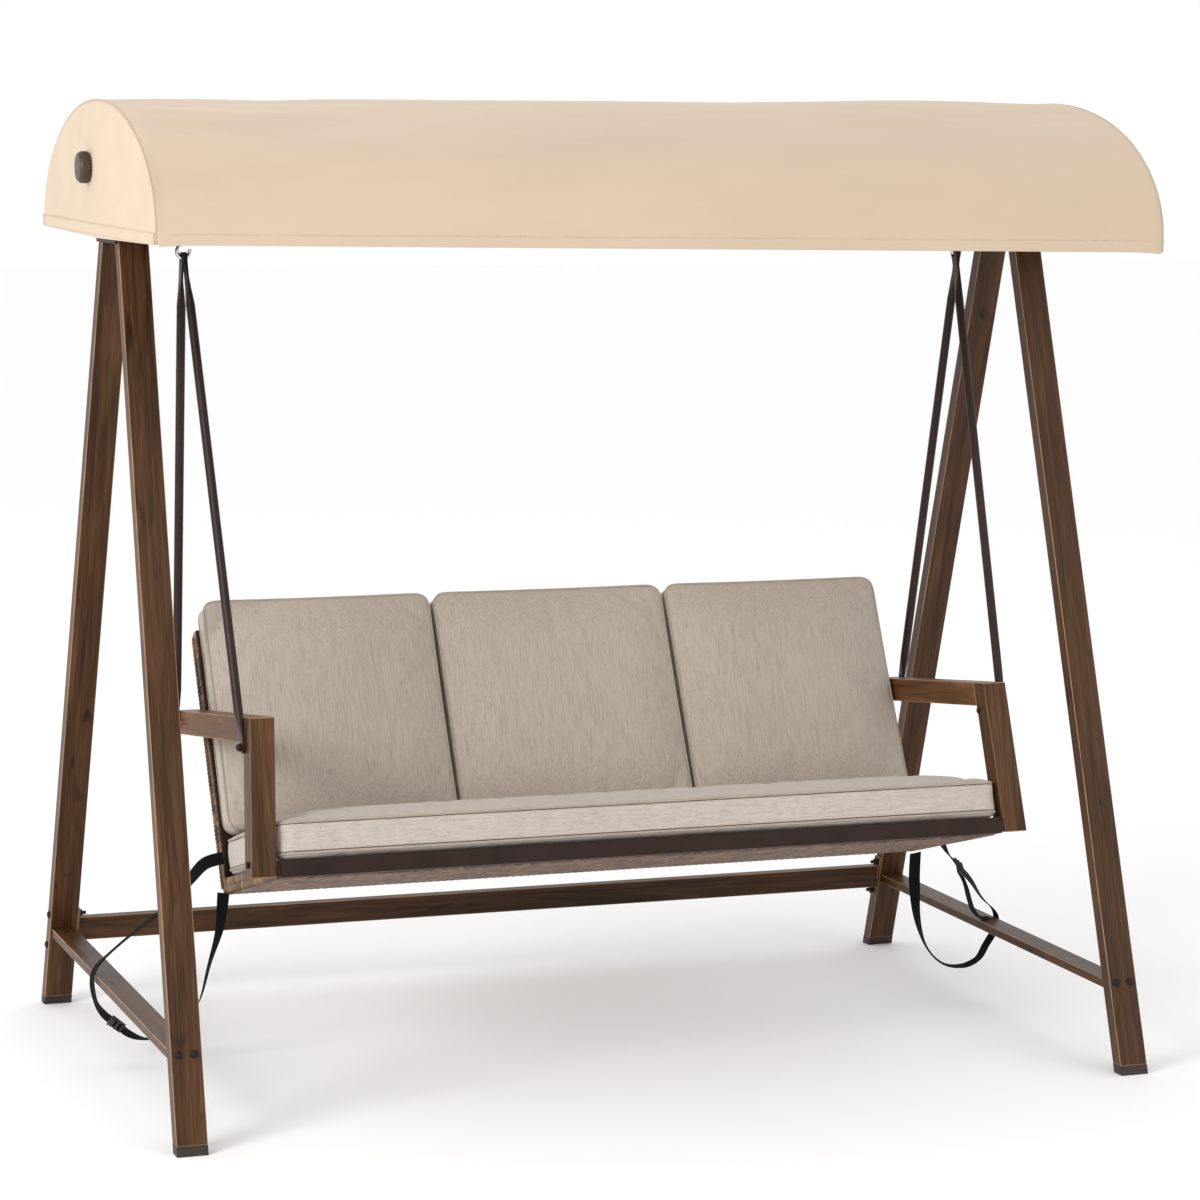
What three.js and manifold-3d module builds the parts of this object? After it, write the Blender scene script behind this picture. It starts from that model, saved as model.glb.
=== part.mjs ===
// Three-seat canopy swing bench: A-frame stand, hanging seat on four rods,
// tilting fabric canopy and two webbing straps round the side rails.
// Millimetres, +Z up. The origin is on the floor, midway between the four feet,
// with the front of the bench towards -Y and the sitter's right at -X.
import * as THREE from 'three';
import { mergeVertices } from 'three/addons/utils/BufferGeometryUtils.js';
import Module from 'manifold-3d';

const wasm = await Module();
wasm.setup();

// ---------------------------------------------------------------- dimensions
const GAP = 0.3;                    // between neighbouring pieces
const WALL = 2;                     // of every rectangular tube
const BOLT_R = 4;
const HOLE_R = 4.3;
const DEG = Math.PI / 180;

const FOOT_X = 975;                 // centre of each foot from the middle
const FOOT_Y = 595;
const LEG_WIDTH = 60;               // across the front of the leg
const LEG_DEPTH = 30;
const LEG_TOP_Z = 1760;
const LEG_RAKE = 17.6 * DEG;        // each leg leans towards the ridge
const LEG_TILT = 0.75 * DEG;        // each A-frame leans in a little
const CAP_HEIGHT = 18;
const CAP_PLUG = 26;

const RAIL_WIDTH = 50;              // side rail between front and rear leg
const RAIL_HEIGHT = 18;
const RAIL_Z = 169;
const RAIL_BOLT_PITCH = 31;

const CROSSBAR_HEIGHT = 50;         // low bar between the rear legs
const CROSSBAR_DEPTH = 25;
const CROSSBAR_Z = 174;
const CROSSBAR_BOLT_RISE = 35;
const END_PLATE = 4;

const BEAM_HEIGHT = 60;             // ridge beam that carries the hooks
const BEAM_DEPTH = 40;
const BEAM_Z = 1695;
const BEAM_END_X = 916.5;           // inner face of the welded end plate
const APEX_PLATE = 5;
const APEX_BOLT_Z = 1725;
const BRACKET_X = 983.7;            // inner face of the canopy bracket

const HOOK_X = 834;
const HOOK_Z = 1637.3;              // centre of the open ring
const HOOK_R = 13;                  // to the middle of the wire
const HOOK_WIRE_R = 4;
const SWING_Z = 1624;               // swing axis, through both hooks

const CANOPY_X = 1020;              // outside of the end panels
const CANOPY_Y = -48;               // middle of the arch
const CANOPY_Z = 1680;              // springing of the arch
const CANOPY_HALF = 487;
const CANOPY_RISE = 250;
const CANOPY_FRONT_DROP = 22;       // front hem below the springing
const FABRIC = 2;
const CANOPY_TUBE_R = 8;
const RIB_X = 1006;
const TILT_Z = 1800;                // canopy tilt axis, through both knobs
const KNOB_R = 30;
const KNOB_DEPTH = 25;

const SEAT_Y = -424.7;              // top front edge of the seat frame
const SEAT_Z = 504.8;
const SEAT_RECLINE = 7.5 * DEG;     // whole seat leans back
const DECK_SLOPE = 8.6 * DEG;       // deck below the armrest line
const DECK_DEPTH = 418;
const DECK_HALF = 752;
const SEAT_RAIL_HEIGHT = 32;
const SEAT_RAIL_WIDTH = 25;
const PANEL = 3.5;                  // woven resin skin
const BACK_RECLINE = 19 * DEG;      // backrest from the post line
const BACK_Y = 437;                 // foot of the backrest in the seat frame
const BACK_Z = -95;
const BACK_HEIGHT = 545;
const BACK_DEPTH = 18.5;

const ARM_SIZE = 48;                // square tube of posts and armrests
const POST_FOOT_Z = -31;
const ARM_TOP_Z = 271;
const POST_RAKE = 40;               // rearward travel of the post, foot to top
const ARM_REAR_Y = 585;
const ARM_X = 788.8;                // middle of the post's foot
const ARM_LEAN = -0.0605;           // inward per unit of height
const ARM_SPLAY = 0.02;             // outward per unit of depth

const CUSHION_HALF = 757;
const SEAT_CUSHION_HEIGHT = 78;
const BACK_CUSHION_HEIGHT = 490;
const BACK_CUSHION_DEPTH = 59;
const BACK_CUSHION_FOOT = 108;      // up the backrest from its foot

const ROD_R = 9;
const ROD_TAB = 2.5;                // half thickness of a flattened end
const FRONT_EYE = { y: 72, z: 214 };
const REAR_EYE = { y: 562, z: 248 };
const EYE_SPREAD = 3.3;             // the two rods share one hook side by side

const STRAP_WIDTH = 25;
const STRAP_THICK = 2;

// ----------------------------------------------------------------- materials
function material(colour, roughness, metalness) {
  return new THREE.MeshStandardMaterial({ color: colour, roughness, metalness });
}
const walnutSteel = material(0x5f412d, 0.55, 0.1);
const darkSteel = material(0x33231d, 0.5, 0.4);
const rodSteel = material(0x3b2a26, 0.4, 0.4);
const brightSteel = material(0xc9c9cc, 0.2, 1);
const darkPlastic = material(0x2e211c, 0.6, 0);
const canopyCloth = material(0xe1cdb2, 0.9, 0);
const cushionCloth = material(0xb8ab9c, 0.95, 0);
const wicker = material(0xb98a63, 0.8, 0);
const webbing = material(0x17161a, 0.85, 0);

// ------------------------------------------------------------------- helpers
const root = new THREE.Group();
const SIDES = [['left', -1], ['right', 1]];
const ENDS = [['front', -1], ['rear', 1]];

function place(parent, name, geometry, look) {
  const mesh = new THREE.Mesh(geometry, look);
  mesh.name = name;
  parent.add(mesh);
}

function toSolid(geometry) {
  const bare = geometry.clone();
  bare.deleteAttribute('normal');
  bare.deleteAttribute('uv');
  const merged = mergeVertices(bare, 1e-4);
  const corners = merged.index.array;
  const faces = [];
  for (let i = 0; i < corners.length; i += 3) {
    const [a, b, c] = corners.slice(i, i + 3);
    if (a !== b && b !== c && c !== a) faces.push(a, b, c);
  }
  return new wasm.Manifold(new wasm.Mesh({
    numProp: 3,
    vertProperties: new Float32Array(merged.attributes.position.array),
    triVerts: new Uint32Array(faces),
  }));
}

function toGeometry(solid) {
  const mesh = solid.getMesh();
  const geometry = new THREE.BufferGeometry();
  geometry.setAttribute('position', new THREE.BufferAttribute(mesh.vertProperties, 3));
  geometry.setIndex(new THREE.BufferAttribute(mesh.triVerts, 1));
  geometry.computeVertexNormals();
  return geometry;
}

function join(...geometries) {
  return toGeometry(geometries.map(toSolid).reduce((sum, solid) => sum.add(solid)));
}

function cut(geometry, ...tools) {
  return toGeometry(tools.map(toSolid).reduce((rest, tool) => rest.subtract(tool), toSolid(geometry)));
}

// outline of [y, z] points carried along X from x0 to x1
function prism(outline, x0, x1) {
  const shape = new THREE.Shape(outline.map(([y, z]) => new THREE.Vector2(y, z)));
  const geometry = new THREE.ExtrudeGeometry(shape, { depth: x1 - x0, bevelEnabled: false });
  const turn = new THREE.Matrix4().set(0, 0, 1, x0, 1, 0, 0, 0, 0, 1, 0, 0, 0, 0, 0, 1);
  return geometry.applyMatrix4(turn);
}

// carries a shape built along +Y to a point, with +Y turned to the given direction
function aim(geometry, point, direction) {
  const turn = new THREE.Quaternion().setFromUnitVectors(
    new THREE.Vector3(0, 1, 0), new THREE.Vector3(...direction).normalize());
  return geometry.applyQuaternion(turn).translate(...point);
}

// round bar between two points
function bar(radius, from, to, sides = 12) {
  const along = new THREE.Vector3(...to).sub(new THREE.Vector3(...from));
  const geometry = new THREE.CylinderGeometry(radius, radius, along.length(), sides);
  return aim(geometry.translate(0, along.length() / 2, 0), from, along.toArray());
}

// closed skin over equal rings of points, flat at both ends
function loft(rings) {
  const sides = rings[0].length;
  const faces = [];
  for (let ring = 0; ring < rings.length - 1; ring += 1) {
    for (let i = 0; i < sides; i += 1) {
      const a = ring * sides + i;
      const b = ring * sides + (i + 1) % sides;
      faces.push(a, b, b + sides, a, b + sides, a + sides);
    }
  }
  const last = (rings.length - 1) * sides;
  for (let i = 1; i < sides - 1; i += 1) {
    faces.push(0, i + 1, i, last, last + i, last + i + 1);
  }
  const geometry = new THREE.BufferGeometry();
  const flat = rings.flat().flatMap((p) => [p.x, p.y, p.z]);
  geometry.setAttribute('position', new THREE.Float32BufferAttribute(flat, 3));
  geometry.setIndex(faces);
  geometry.computeVertexNormals();
  return geometry;
}

// level rectangle at height z, anticlockwise from above
function levelRing(xa, xb, ya, yb, z) {
  const [x0, x1] = [Math.min(xa, xb), Math.max(xa, xb)];
  const [y0, y1] = [Math.min(ya, yb), Math.max(ya, yb)];
  return [[x0, y0], [x1, y0], [x1, y1], [x0, y1]].map(([x, y]) => new THREE.Vector3(x, y, z));
}

function box(x0, x1, y0, y1, z0, z1) {
  return loft([levelRing(x0, x1, y0, y1, z0), levelRing(x0, x1, y0, y1, z1)]);
}

// profile of [radius, height] points turned about the Y axis
function turned(profile, sides = 12) {
  return new THREE.LatheGeometry(profile.map(([r, y]) => new THREE.Vector2(r, y)), sides);
}

// round tube along a curve
function sweep(curve, radius, steps, sides) {
  const section = new THREE.Shape();
  section.absarc(0, 0, radius, 0, 2 * Math.PI);
  return new THREE.ExtrudeGeometry(section, {
    steps, bevelEnabled: false, extrudePath: curve, curveSegments: sides / 2,
  });
}

// dome-head bolt standing on its head: underside at y = 0, thread end at y = length
function bolt(radius, head, length) {
  return turned([
    [0, -0.65 * head], [0.6 * head, -0.5 * head], [0.92 * head, -0.25 * head],
    [head, 0], [radius, 0], [radius, length], [0, length],
  ]);
}

// bolt with a hexagon nut whose seat is at y = grip
function nutBolt(grip) {
  const nutHeight = 6.5;
  const tail = 8;
  const nut = new THREE.CylinderGeometry(7.5, 7.5, nutHeight, 6).translate(0, grip + nutHeight / 2, 0);
  return join(bolt(BOLT_R, 8, grip + nutHeight + tail), nut);
}

// bolt closed by a cap nut whose seat is at y = grip
function capNutBolt(grip) {
  const cap = turned([[0, grip], [7.5, grip], [7.5, grip + 5], [5.5, grip + 9], [0, grip + 11]]);
  return join(bolt(BOLT_R, 7, grip + 4), cap);
}

// ------------------------------------------------------------------ the stand
const LEG_HALF_Y = LEG_DEPTH / 2 / Math.cos(LEG_RAKE);

function legX(z) {
  return FOOT_X - Math.tan(LEG_TILT) * z;
}

function legY(z) {
  return FOOT_Y - Math.tan(LEG_RAKE) * z;
}

// length of one leg with its section shrunk by inset on every side
function legRun(side, end, z0, z1, inset) {
  const halfX = LEG_WIDTH / 2 - inset;
  const halfY = LEG_HALF_Y - inset;
  return loft([z0, z1].map((z) => levelRing(
    side * (legX(z) - halfX), side * (legX(z) + halfX),
    end * (legY(z) - halfY), end * (legY(z) + halfY), z)));
}

// the two bolts that hold a side rail to its front leg, as [start, direction] from the leg's face
function railBoltLines(side) {
  const z = RAIL_Z + LEG_DEPTH / 2 * Math.sin(LEG_RAKE);
  const inward = [0, Math.cos(LEG_RAKE), -Math.sin(LEG_RAKE)];
  return [-1, 1].map((hand) => {
    const x = side * legX(z) + hand * RAIL_BOLT_PITCH / 2;
    const face = LEG_DEPTH / 2 + GAP;
    return [[x, -legY(z) - face * inward[1], z - face * inward[2]], inward];
  });
}

function along([point, direction], distance) {
  return point.map((value, i) => value + distance * direction[i]);
}

function leg(side, end) {
  const holes = [bar(HOLE_R, [side * 900, end * legY(APEX_BOLT_Z), APEX_BOLT_Z],
    [side * 1010, end * legY(APEX_BOLT_Z), APEX_BOLT_Z])];
  if (end < 0) {
    for (const line of railBoltLines(side)) {
      holes.push(bar(3.3, along(line, -5), along(line, 40)));
    }
  } else {
    for (const z of [CROSSBAR_Z - CROSSBAR_BOLT_RISE, CROSSBAR_Z + CROSSBAR_BOLT_RISE]) {
      holes.push(bar(HOLE_R, [side * 930, legY(z), z], [side * 1010, legY(z), z]));
    }
  }
  const outside = legRun(side, end, CAP_HEIGHT + GAP, LEG_TOP_Z, 0);
  return cut(outside, legRun(side, end, CAP_HEIGHT - 1, LEG_TOP_Z + 1, WALL), ...holes);
}

function footCap(side, end) {
  const shoe = legRun(side, end, 0, CAP_HEIGHT, 0);
  const plug = legRun(side, end, CAP_HEIGHT - 1, CAP_HEIGHT + CAP_PLUG, WALL + GAP);
  return join(shoe, plug);
}

function sideRail(side) {
  const top = RAIL_Z + RAIL_HEIGHT / 2;
  const bottom = RAIL_Z - RAIL_HEIGHT / 2;
  const outline = (inset, z0, z1) => {
    const reach = (z) => legY(z) - LEG_HALF_Y - GAP - inset;
    return [[-reach(z0), z0], [reach(z0), z0], [reach(z1), z1], [-reach(z1), z1]];
  };
  const middle = side * legX(RAIL_Z);
  const half = RAIL_WIDTH / 2;
  const outside = prism(outline(0, bottom, top), middle - half, middle + half);
  const inside = prism(outline(END_PLATE, bottom + WALL, top - WALL),
    middle - half + WALL, middle + half - WALL);
  const holes = railBoltLines(side).map((line) => bar(3.3, along(line, 20), along(line, 40)));
  return cut(outside, inside, ...holes);
}

function crossbar() {
  const bottom = CROSSBAR_Z - CROSSBAR_HEIGHT / 2;
  const top = CROSSBAR_Z + CROSSBAR_HEIGHT / 2;
  const y0 = legY(CROSSBAR_Z) - CROSSBAR_DEPTH / 2;
  const y1 = legY(CROSSBAR_Z) + CROSSBAR_DEPTH / 2;
  const legInside = (z) => legX(z) - LEG_WIDTH / 2 - GAP;
  const half = legInside(top) - END_PLATE / 2;
  const plateReach = CROSSBAR_BOLT_RISE + 13;
  const plates = SIDES.map(([, side]) => loft(
    [CROSSBAR_Z - plateReach, CROSSBAR_Z + plateReach].map((z) => levelRing(
      side * (legInside(z) - END_PLATE), side * legInside(z),
      legY(z) - LEG_DEPTH / 2, legY(z) + LEG_DEPTH / 2, z))));
  const inside = box(-half + END_PLATE, half - END_PLATE, y0 + WALL, y1 - WALL, bottom + WALL, top - WALL);
  const holes = [bar(4, [0, legY(CROSSBAR_Z), bottom - 5], [0, legY(CROSSBAR_Z), bottom + 10])];
  for (const z of [CROSSBAR_Z - CROSSBAR_BOLT_RISE, CROSSBAR_Z + CROSSBAR_BOLT_RISE]) {
    holes.push(bar(HOLE_R, [-960, legY(z), z], [960, legY(z), z]));
  }
  return cut(join(box(-half, half, y0, y1, bottom, top), ...plates), inside, ...holes);
}

// tapered plate that ties the tops of a front and a rear leg together
const APEX_OUTLINE = [[-84, 1655], [84, 1655], [54, 1755], [-54, 1755]];

function apexHoles(x0, x1) {
  return [-1, 1].map((end) => bar(
    HOLE_R, [x0, end * legY(APEX_BOLT_Z), APEX_BOLT_Z], [x1, end * legY(APEX_BOLT_Z), APEX_BOLT_Z]));
}

function topBeam() {
  const [y0, y1] = [-BEAM_DEPTH / 2, BEAM_DEPTH / 2];
  const [z0, z1] = [BEAM_Z - BEAM_HEIGHT / 2, BEAM_Z + BEAM_HEIGHT / 2];
  const end = BEAM_END_X + 2;
  const plates = [prism(APEX_OUTLINE, -BEAM_END_X - APEX_PLATE, -BEAM_END_X),
    prism(APEX_OUTLINE, BEAM_END_X, BEAM_END_X + APEX_PLATE)];
  const inside = box(-BEAM_END_X, BEAM_END_X, y0 + WALL, y1 - WALL, z0 + WALL, z1 - WALL);
  const hookHoles = SIDES.map(([, side]) => bar(HOLE_R, [side * HOOK_X, 0, z0 - 5], [side * HOOK_X, 0, z1 + 5]));
  return cut(join(box(-end, end, y0, y1, z0, z1), ...plates), inside, ...hookHoles, ...apexHoles(-960, 960));
}

// plate outside the legs, rising as a round lug that carries the canopy pivot
function canopyBracket(side) {
  const lug = 24;
  const outline = APEX_OUTLINE.slice(0, 3);
  for (let step = 0; step <= 8; step += 1) {
    const angle = Math.PI * step / 8;
    outline.push([lug * Math.cos(angle), TILT_Z + lug * Math.sin(angle)]);
  }
  outline.push(APEX_OUTLINE[3]);
  const x0 = Math.min(side * BRACKET_X, side * (BRACKET_X + APEX_PLATE));
  const plate = prism(outline, x0, x0 + APEX_PLATE);
  const pivot = bar(HOLE_R, [x0 - 5, 0, TILT_Z], [x0 + 10, 0, TILT_Z]);
  return cut(plate, pivot, ...apexHoles(x0 - 5, x0 + 10));
}

function apexBolt(side, end) {
  const headX = BRACKET_X + APEX_PLATE + GAP;
  const grip = headX - BEAM_END_X + GAP;
  return aim(nutBolt(grip), [side * headX, end * legY(APEX_BOLT_Z), APEX_BOLT_Z], [-side, 0, 0]);
}

function crossbarBolt(side, rise) {
  const z = CROSSBAR_Z + rise;
  const headX = legX(z) + LEG_WIDTH / 2 + 2 * GAP;
  const grip = LEG_WIDTH + END_PLATE + 5 * GAP;
  return aim(nutBolt(grip), [side * headX, legY(z), z], [-side, 0, 0]);
}

// open hook: threaded shank with two lock nuts, bent outwards into a ring that opens inwards
function hook(side) {
  const neck = 24;
  const points = [new THREE.Vector3(0, 0, HOOK_Z + neck + 3), new THREE.Vector3(0, 0, HOOK_Z + neck),
    new THREE.Vector3(0.3 * HOOK_R, 0, HOOK_Z + 1.3 * HOOK_R)];
  for (let angle = 45; angle >= -200; angle -= 35) {
    const turn = angle * DEG;
    points.push(new THREE.Vector3(HOOK_R * Math.cos(turn), 0, HOOK_Z + HOOK_R * Math.sin(turn)));
  }
  const route = points.map((p) => p.multiply(new THREE.Vector3(side, 1, 1)).add(
    new THREE.Vector3(side * HOOK_X, 0, 0)));
  const ring = sweep(new THREE.CatmullRomCurve3(route), HOOK_WIRE_R, 26, 8);
  const shankTop = BEAM_Z + BEAM_HEIGHT / 2 + 11;
  const shank = bar(HOOK_WIRE_R, [side * HOOK_X, 0, HOOK_Z + neck], [side * HOOK_X, 0, shankTop], 12);
  const nut = (z) => bar(7.5, [side * HOOK_X, 0, z], [side * HOOK_X, 0, z + 6.5], 6);
  const nuts = [nut(BEAM_Z + BEAM_HEIGHT / 2 + GAP), nut(BEAM_Z - BEAM_HEIGHT / 2 - GAP - 6.5)];
  return join(shank, ring, ...nuts);
}

function buildStand() {
  for (const [hand, side] of SIDES) {
    for (const [where, end] of ENDS) {
      place(root, `leg_${where}_${hand}`, leg(side, end), walnutSteel);
      place(root, `foot_cap_${where}_${hand}`, footCap(side, end), darkPlastic);
      place(root, `apex_bolt_${where}_${hand}`, apexBolt(side, end), darkSteel);
    }
    place(root, `side_rail_${hand}`, sideRail(side), walnutSteel);
    railBoltLines(side).forEach(([point, direction], i) => {
      const name = `rail_bolt_${hand}_${i + 1}`;
      place(root, name, aim(bolt(3, 8, LEG_DEPTH + 9), point, direction), darkSteel);
    });
    place(root, `crossbar_bolt_${hand}_lower`, crossbarBolt(side, -CROSSBAR_BOLT_RISE), darkSteel);
    place(root, `crossbar_bolt_${hand}_upper`, crossbarBolt(side, CROSSBAR_BOLT_RISE), darkSteel);
    place(root, `canopy_bracket_${hand}`, canopyBracket(side), darkSteel);
    place(root, `swing_hook_${hand}`, hook(side), brightSteel);
  }
  place(root, 'rear_crossbar', crossbar(), walnutSteel);
  place(root, 'top_beam', topBeam(), walnutSteel);
}

// ----------------------------------------------------------------- the canopy
const TUBE_INSET = FABRIC + CANOPY_TUBE_R + 2.5;

// half ellipse from the rear springing over the ridge to the front, shrunk by inset
function archPoint(inset, turn) {
  return [CANOPY_Y + (CANOPY_HALF - inset) * Math.cos(turn), CANOPY_Z + (CANOPY_RISE - inset) * Math.sin(turn)];
}

function archOutline(inset, drop, steps) {
  const outline = [[CANOPY_Y - CANOPY_HALF + inset, CANOPY_Z - drop - CANOPY_FRONT_DROP],
    [CANOPY_Y + CANOPY_HALF - inset, CANOPY_Z - drop]];
  for (let step = 0; step <= steps; step += 1) {
    outline.push(archPoint(inset, Math.PI * step / steps));
  }
  return outline;
}

function canopyFabric() {
  const outside = prism(archOutline(0, 3, 24), -CANOPY_X, CANOPY_X);
  const inside = prism(archOutline(FABRIC, 40, 24), -CANOPY_X + FABRIC, CANOPY_X - FABRIC);
  const eyelets = bar(12, [-CANOPY_X - 5, 0, TILT_Z], [CANOPY_X + 5, 0, TILT_Z], 16);
  return cut(outside, inside, eyelets);
}

// arch of the rib's tube; a small overrun carries the bore out through both ends
function ribArch(side, radius, overrun) {
  const route = [];
  for (let step = 0; step <= 16; step += 1) {
    const [y, z] = archPoint(TUBE_INSET, -overrun + (Math.PI + 2 * overrun) * step / 16);
    route.push(new THREE.Vector3(side * RIB_X, y, z));
  }
  return sweep(new THREE.CatmullRomCurve3(route), radius, 22, 8);
}

// bent tube with a flat tie bar across it at the height of the pivot
function canopyRib(side) {
  const [half, rise] = [CANOPY_HALF - TUBE_INSET, CANOPY_RISE - TUBE_INSET];
  const reach = half * Math.sqrt(1 - ((TILT_Z - CANOPY_Z) / rise) ** 2) - 7;
  const x0 = side * RIB_X - 2.5;
  const tie = box(x0, x0 + 5, CANOPY_Y - reach, CANOPY_Y + reach, TILT_Z - 15, TILT_Z + 15);
  const pivot = bar(HOLE_R, [x0 - 5, 0, TILT_Z], [x0 + 10, 0, TILT_Z]);
  return cut(join(ribArch(side, CANOPY_TUBE_R, 0), tie), ribArch(side, CANOPY_TUBE_R - WALL, 2 * DEG), pivot);
}

function canopyRod(turn) {
  const half = RIB_X - CANOPY_TUBE_R - 2 * GAP;
  const [y, z] = archPoint(TUBE_INSET, turn);
  const outside = bar(CANOPY_TUBE_R, [-half, y, z], [half, y, z], 12);
  return cut(outside, bar(CANOPY_TUBE_R - WALL, [-half - 1, y, z], [half + 1, y, z], 8));
}

// hand knob on a threaded stud that clamps the rib to its bracket
function canopyKnob(side) {
  const stud = CANOPY_X - BRACKET_X + 8;
  const knob = turned([[0, -stud], [BOLT_R, -stud], [BOLT_R, 0.5], [KNOB_R - 3, 0.5], [KNOB_R, 4],
    [KNOB_R, KNOB_DEPTH - 6], [KNOB_R - 4, KNOB_DEPTH - 1], [0, KNOB_DEPTH]], 20);
  return aim(knob, [side * CANOPY_X, 0, TILT_Z], [side, 0, 0]);
}

function buildCanopy() {
  place(root, 'canopy_fabric', canopyFabric(), canopyCloth);
  place(root, 'canopy_rod_front', canopyRod(177 * DEG), walnutSteel);
  place(root, 'canopy_rod_rear', canopyRod(3 * DEG), walnutSteel);
  place(root, 'canopy_rod_ridge', canopyRod(90 * DEG), walnutSteel);
  for (const [hand, side] of SIDES) {
    place(root, `canopy_rib_${hand}`, canopyRib(side), walnutSteel);
    place(root, `canopy_knob_${hand}`, canopyKnob(side), darkPlastic);
  }
}

// --------------------------------------------------------------- the seat frame
const seat = new THREE.Group();
seat.position.set(0, SEAT_Y, SEAT_Z);
seat.rotation.x = -SEAT_RECLINE;
root.add(seat);

const deck = new THREE.Group();
deck.rotation.x = -DECK_SLOPE;
seat.add(deck);

const back = new THREE.Group();
back.position.set(0, BACK_Y, BACK_Z);
back.rotation.x = -BACK_RECLINE;
seat.add(back);

// rectangular tubes welded into one frame, each given as [x0, x1, y0, y1, z0, z1]
function weldedFrame(tubes, lugs, drain) {
  const hollow = ([x0, x1, y0, y1, z0, z1]) => box(
    x0 + WALL, x1 - WALL, y0 + WALL, y1 - WALL, z0 + WALL, z1 - WALL);
  const outside = join(...tubes.map((tube) => box(...tube)), ...lugs.map((lug) => box(...lug)));
  return cut(outside, join(...tubes.map(hollow)), drain);
}

function seatFrame() {
  const bottom = -SEAT_RAIL_HEIGHT;
  const railTop = -6;
  const end = DECK_HALF + 3.5;
  const tubes = [[-end, end, 0, 30, bottom, 0],
    [-DECK_HALF, DECK_HALF, DECK_DEPTH - 30, DECK_DEPTH, bottom, railTop]];
  for (const x of [-DECK_HALF, -260 - SEAT_RAIL_WIDTH / 2, 260 - SEAT_RAIL_WIDTH / 2, DECK_HALF - SEAT_RAIL_WIDTH]) {
    tubes.push([x, x + SEAT_RAIL_WIDTH, 0, DECK_DEPTH, bottom, railTop]);
  }
  const postLugs = SIDES.map(([, side]) => [side * 756 - 6, side * 756 + 6, 4, 26, bottom + 4, -4]);
  return weldedFrame(tubes, postLugs, bar(4, [100, 15, bottom - 5], [100, 15, bottom + 8]));
}

// woven resin laid over the seat frame and turned down over its sides and rear
function seatPanel() {
  const start = 30 + GAP;
  const edge = DECK_HALF + GAP;
  const end = DECK_DEPTH + GAP;
  const outside = box(-edge - PANEL, edge + PANEL, start, end + PANEL, -SEAT_RAIL_HEIGHT, 0);
  return cut(outside, box(-edge, edge, start - 1, end, -SEAT_RAIL_HEIGHT - 1, GAP - 6));
}

const BACK_FRONT = -6 - 16;           // front face of the back frame
const ARM_LUG_R = 358;                // height on the backrest where the armrests meet it

function backFrame() {
  const front = BACK_FRONT;
  const rear = -6;
  const tubes = [[-DECK_HALF, DECK_HALF, front, rear, 0, 25],
    [-DECK_HALF, DECK_HALF, front, rear, BACK_HEIGHT - 25, BACK_HEIGHT]];
  for (const x of [-DECK_HALF, -250 - SEAT_RAIL_WIDTH / 2, 250 - SEAT_RAIL_WIDTH / 2, DECK_HALF - SEAT_RAIL_WIDTH]) {
    tubes.push([x, x + SEAT_RAIL_WIDTH, front, rear, 0, BACK_HEIGHT]);
  }
  const armLugs = SIDES.map(([, side]) => [
    side * 753.4 - 3, side * 753.4 + 3, front + 1, rear - 1, ARM_LUG_R - 14, ARM_LUG_R + 14]);
  return weldedFrame(tubes, armLugs, bar(4, [100, -14, -5], [100, -14, 8]));
}

// woven resin over the rear of the back frame, turned round its sides and top
function backPanel() {
  const edge = DECK_HALF + GAP;
  const top = BACK_HEIGHT + GAP;
  const outside = box(-edge - PANEL, edge + PANEL, BACK_FRONT, 0, 0, top + PANEL);
  const inside = box(-edge, edge, BACK_FRONT - 1, GAP - 6, -1, top);
  const notches = SIDES.map(([, side]) => box(
    side * (edge - 0.1), side * (edge + PANEL + 1), BACK_FRONT - 2, 1, ARM_LUG_R - 18, ARM_LUG_R + 24));
  return cut(outside, inside, ...notches);
}

// middle of the square arm tube, which leans in as it rises and opens out to the rear
function armMiddle(y, z) {
  return ARM_X + ARM_LEAN * (z - POST_FOOT_Z) + ARM_SPLAY * (y - 20);
}

function armTube(side, outline, inset) {
  const half = ARM_SIZE / 2 - inset;
  const lean = new THREE.Matrix4().set(
    1, side * ARM_SPLAY, side * ARM_LEAN, side * armMiddle(0, 0),
    0, 1, 0, 0, 0, 0, 1, 0, 0, 0, 0, 1);
  return prism(outline, -half, half).applyMatrix4(lean);
}

function postFront(z) {
  return POST_RAKE * (z - POST_FOOT_Z) / (ARM_TOP_Z - POST_FOOT_Z);
}

function eyeHole(side, eye) {
  return bar(HOLE_R, [side * 700, eye.y, eye.z], [side * 850, eye.y, eye.z]);
}

function armPost(side) {
  const outline = (inset, z0, z1) => [[postFront(z0) + inset, z0], [postFront(z0) + ARM_SIZE - inset, z0],
    [postFront(z1) + ARM_SIZE - inset, z1], [postFront(z1) + inset, z1]];
  const outside = armTube(side, outline(0, POST_FOOT_Z, ARM_TOP_Z), 0);
  const inside = armTube(side, outline(WALL, POST_FOOT_Z - 1, ARM_TOP_Z - WALL), WALL);
  return cut(outside, inside, eyeHole(side, FRONT_EYE));
}

function armrest(side) {
  const outline = (inset, start) => {
    const [z0, z1] = [ARM_TOP_Z - ARM_SIZE + inset, ARM_TOP_Z - inset];
    return [[postFront(z0) + ARM_SIZE + start, z0], [ARM_REAR_Y - inset, z0],
      [ARM_REAR_Y - inset, z1], [postFront(z1) + ARM_SIZE + start, z1]];
  };
  const outside = armTube(side, outline(0, GAP), 0);
  const inside = armTube(side, outline(WALL, -1), WALL);
  return cut(outside, inside, eyeHole(side, REAR_EYE));
}

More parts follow.
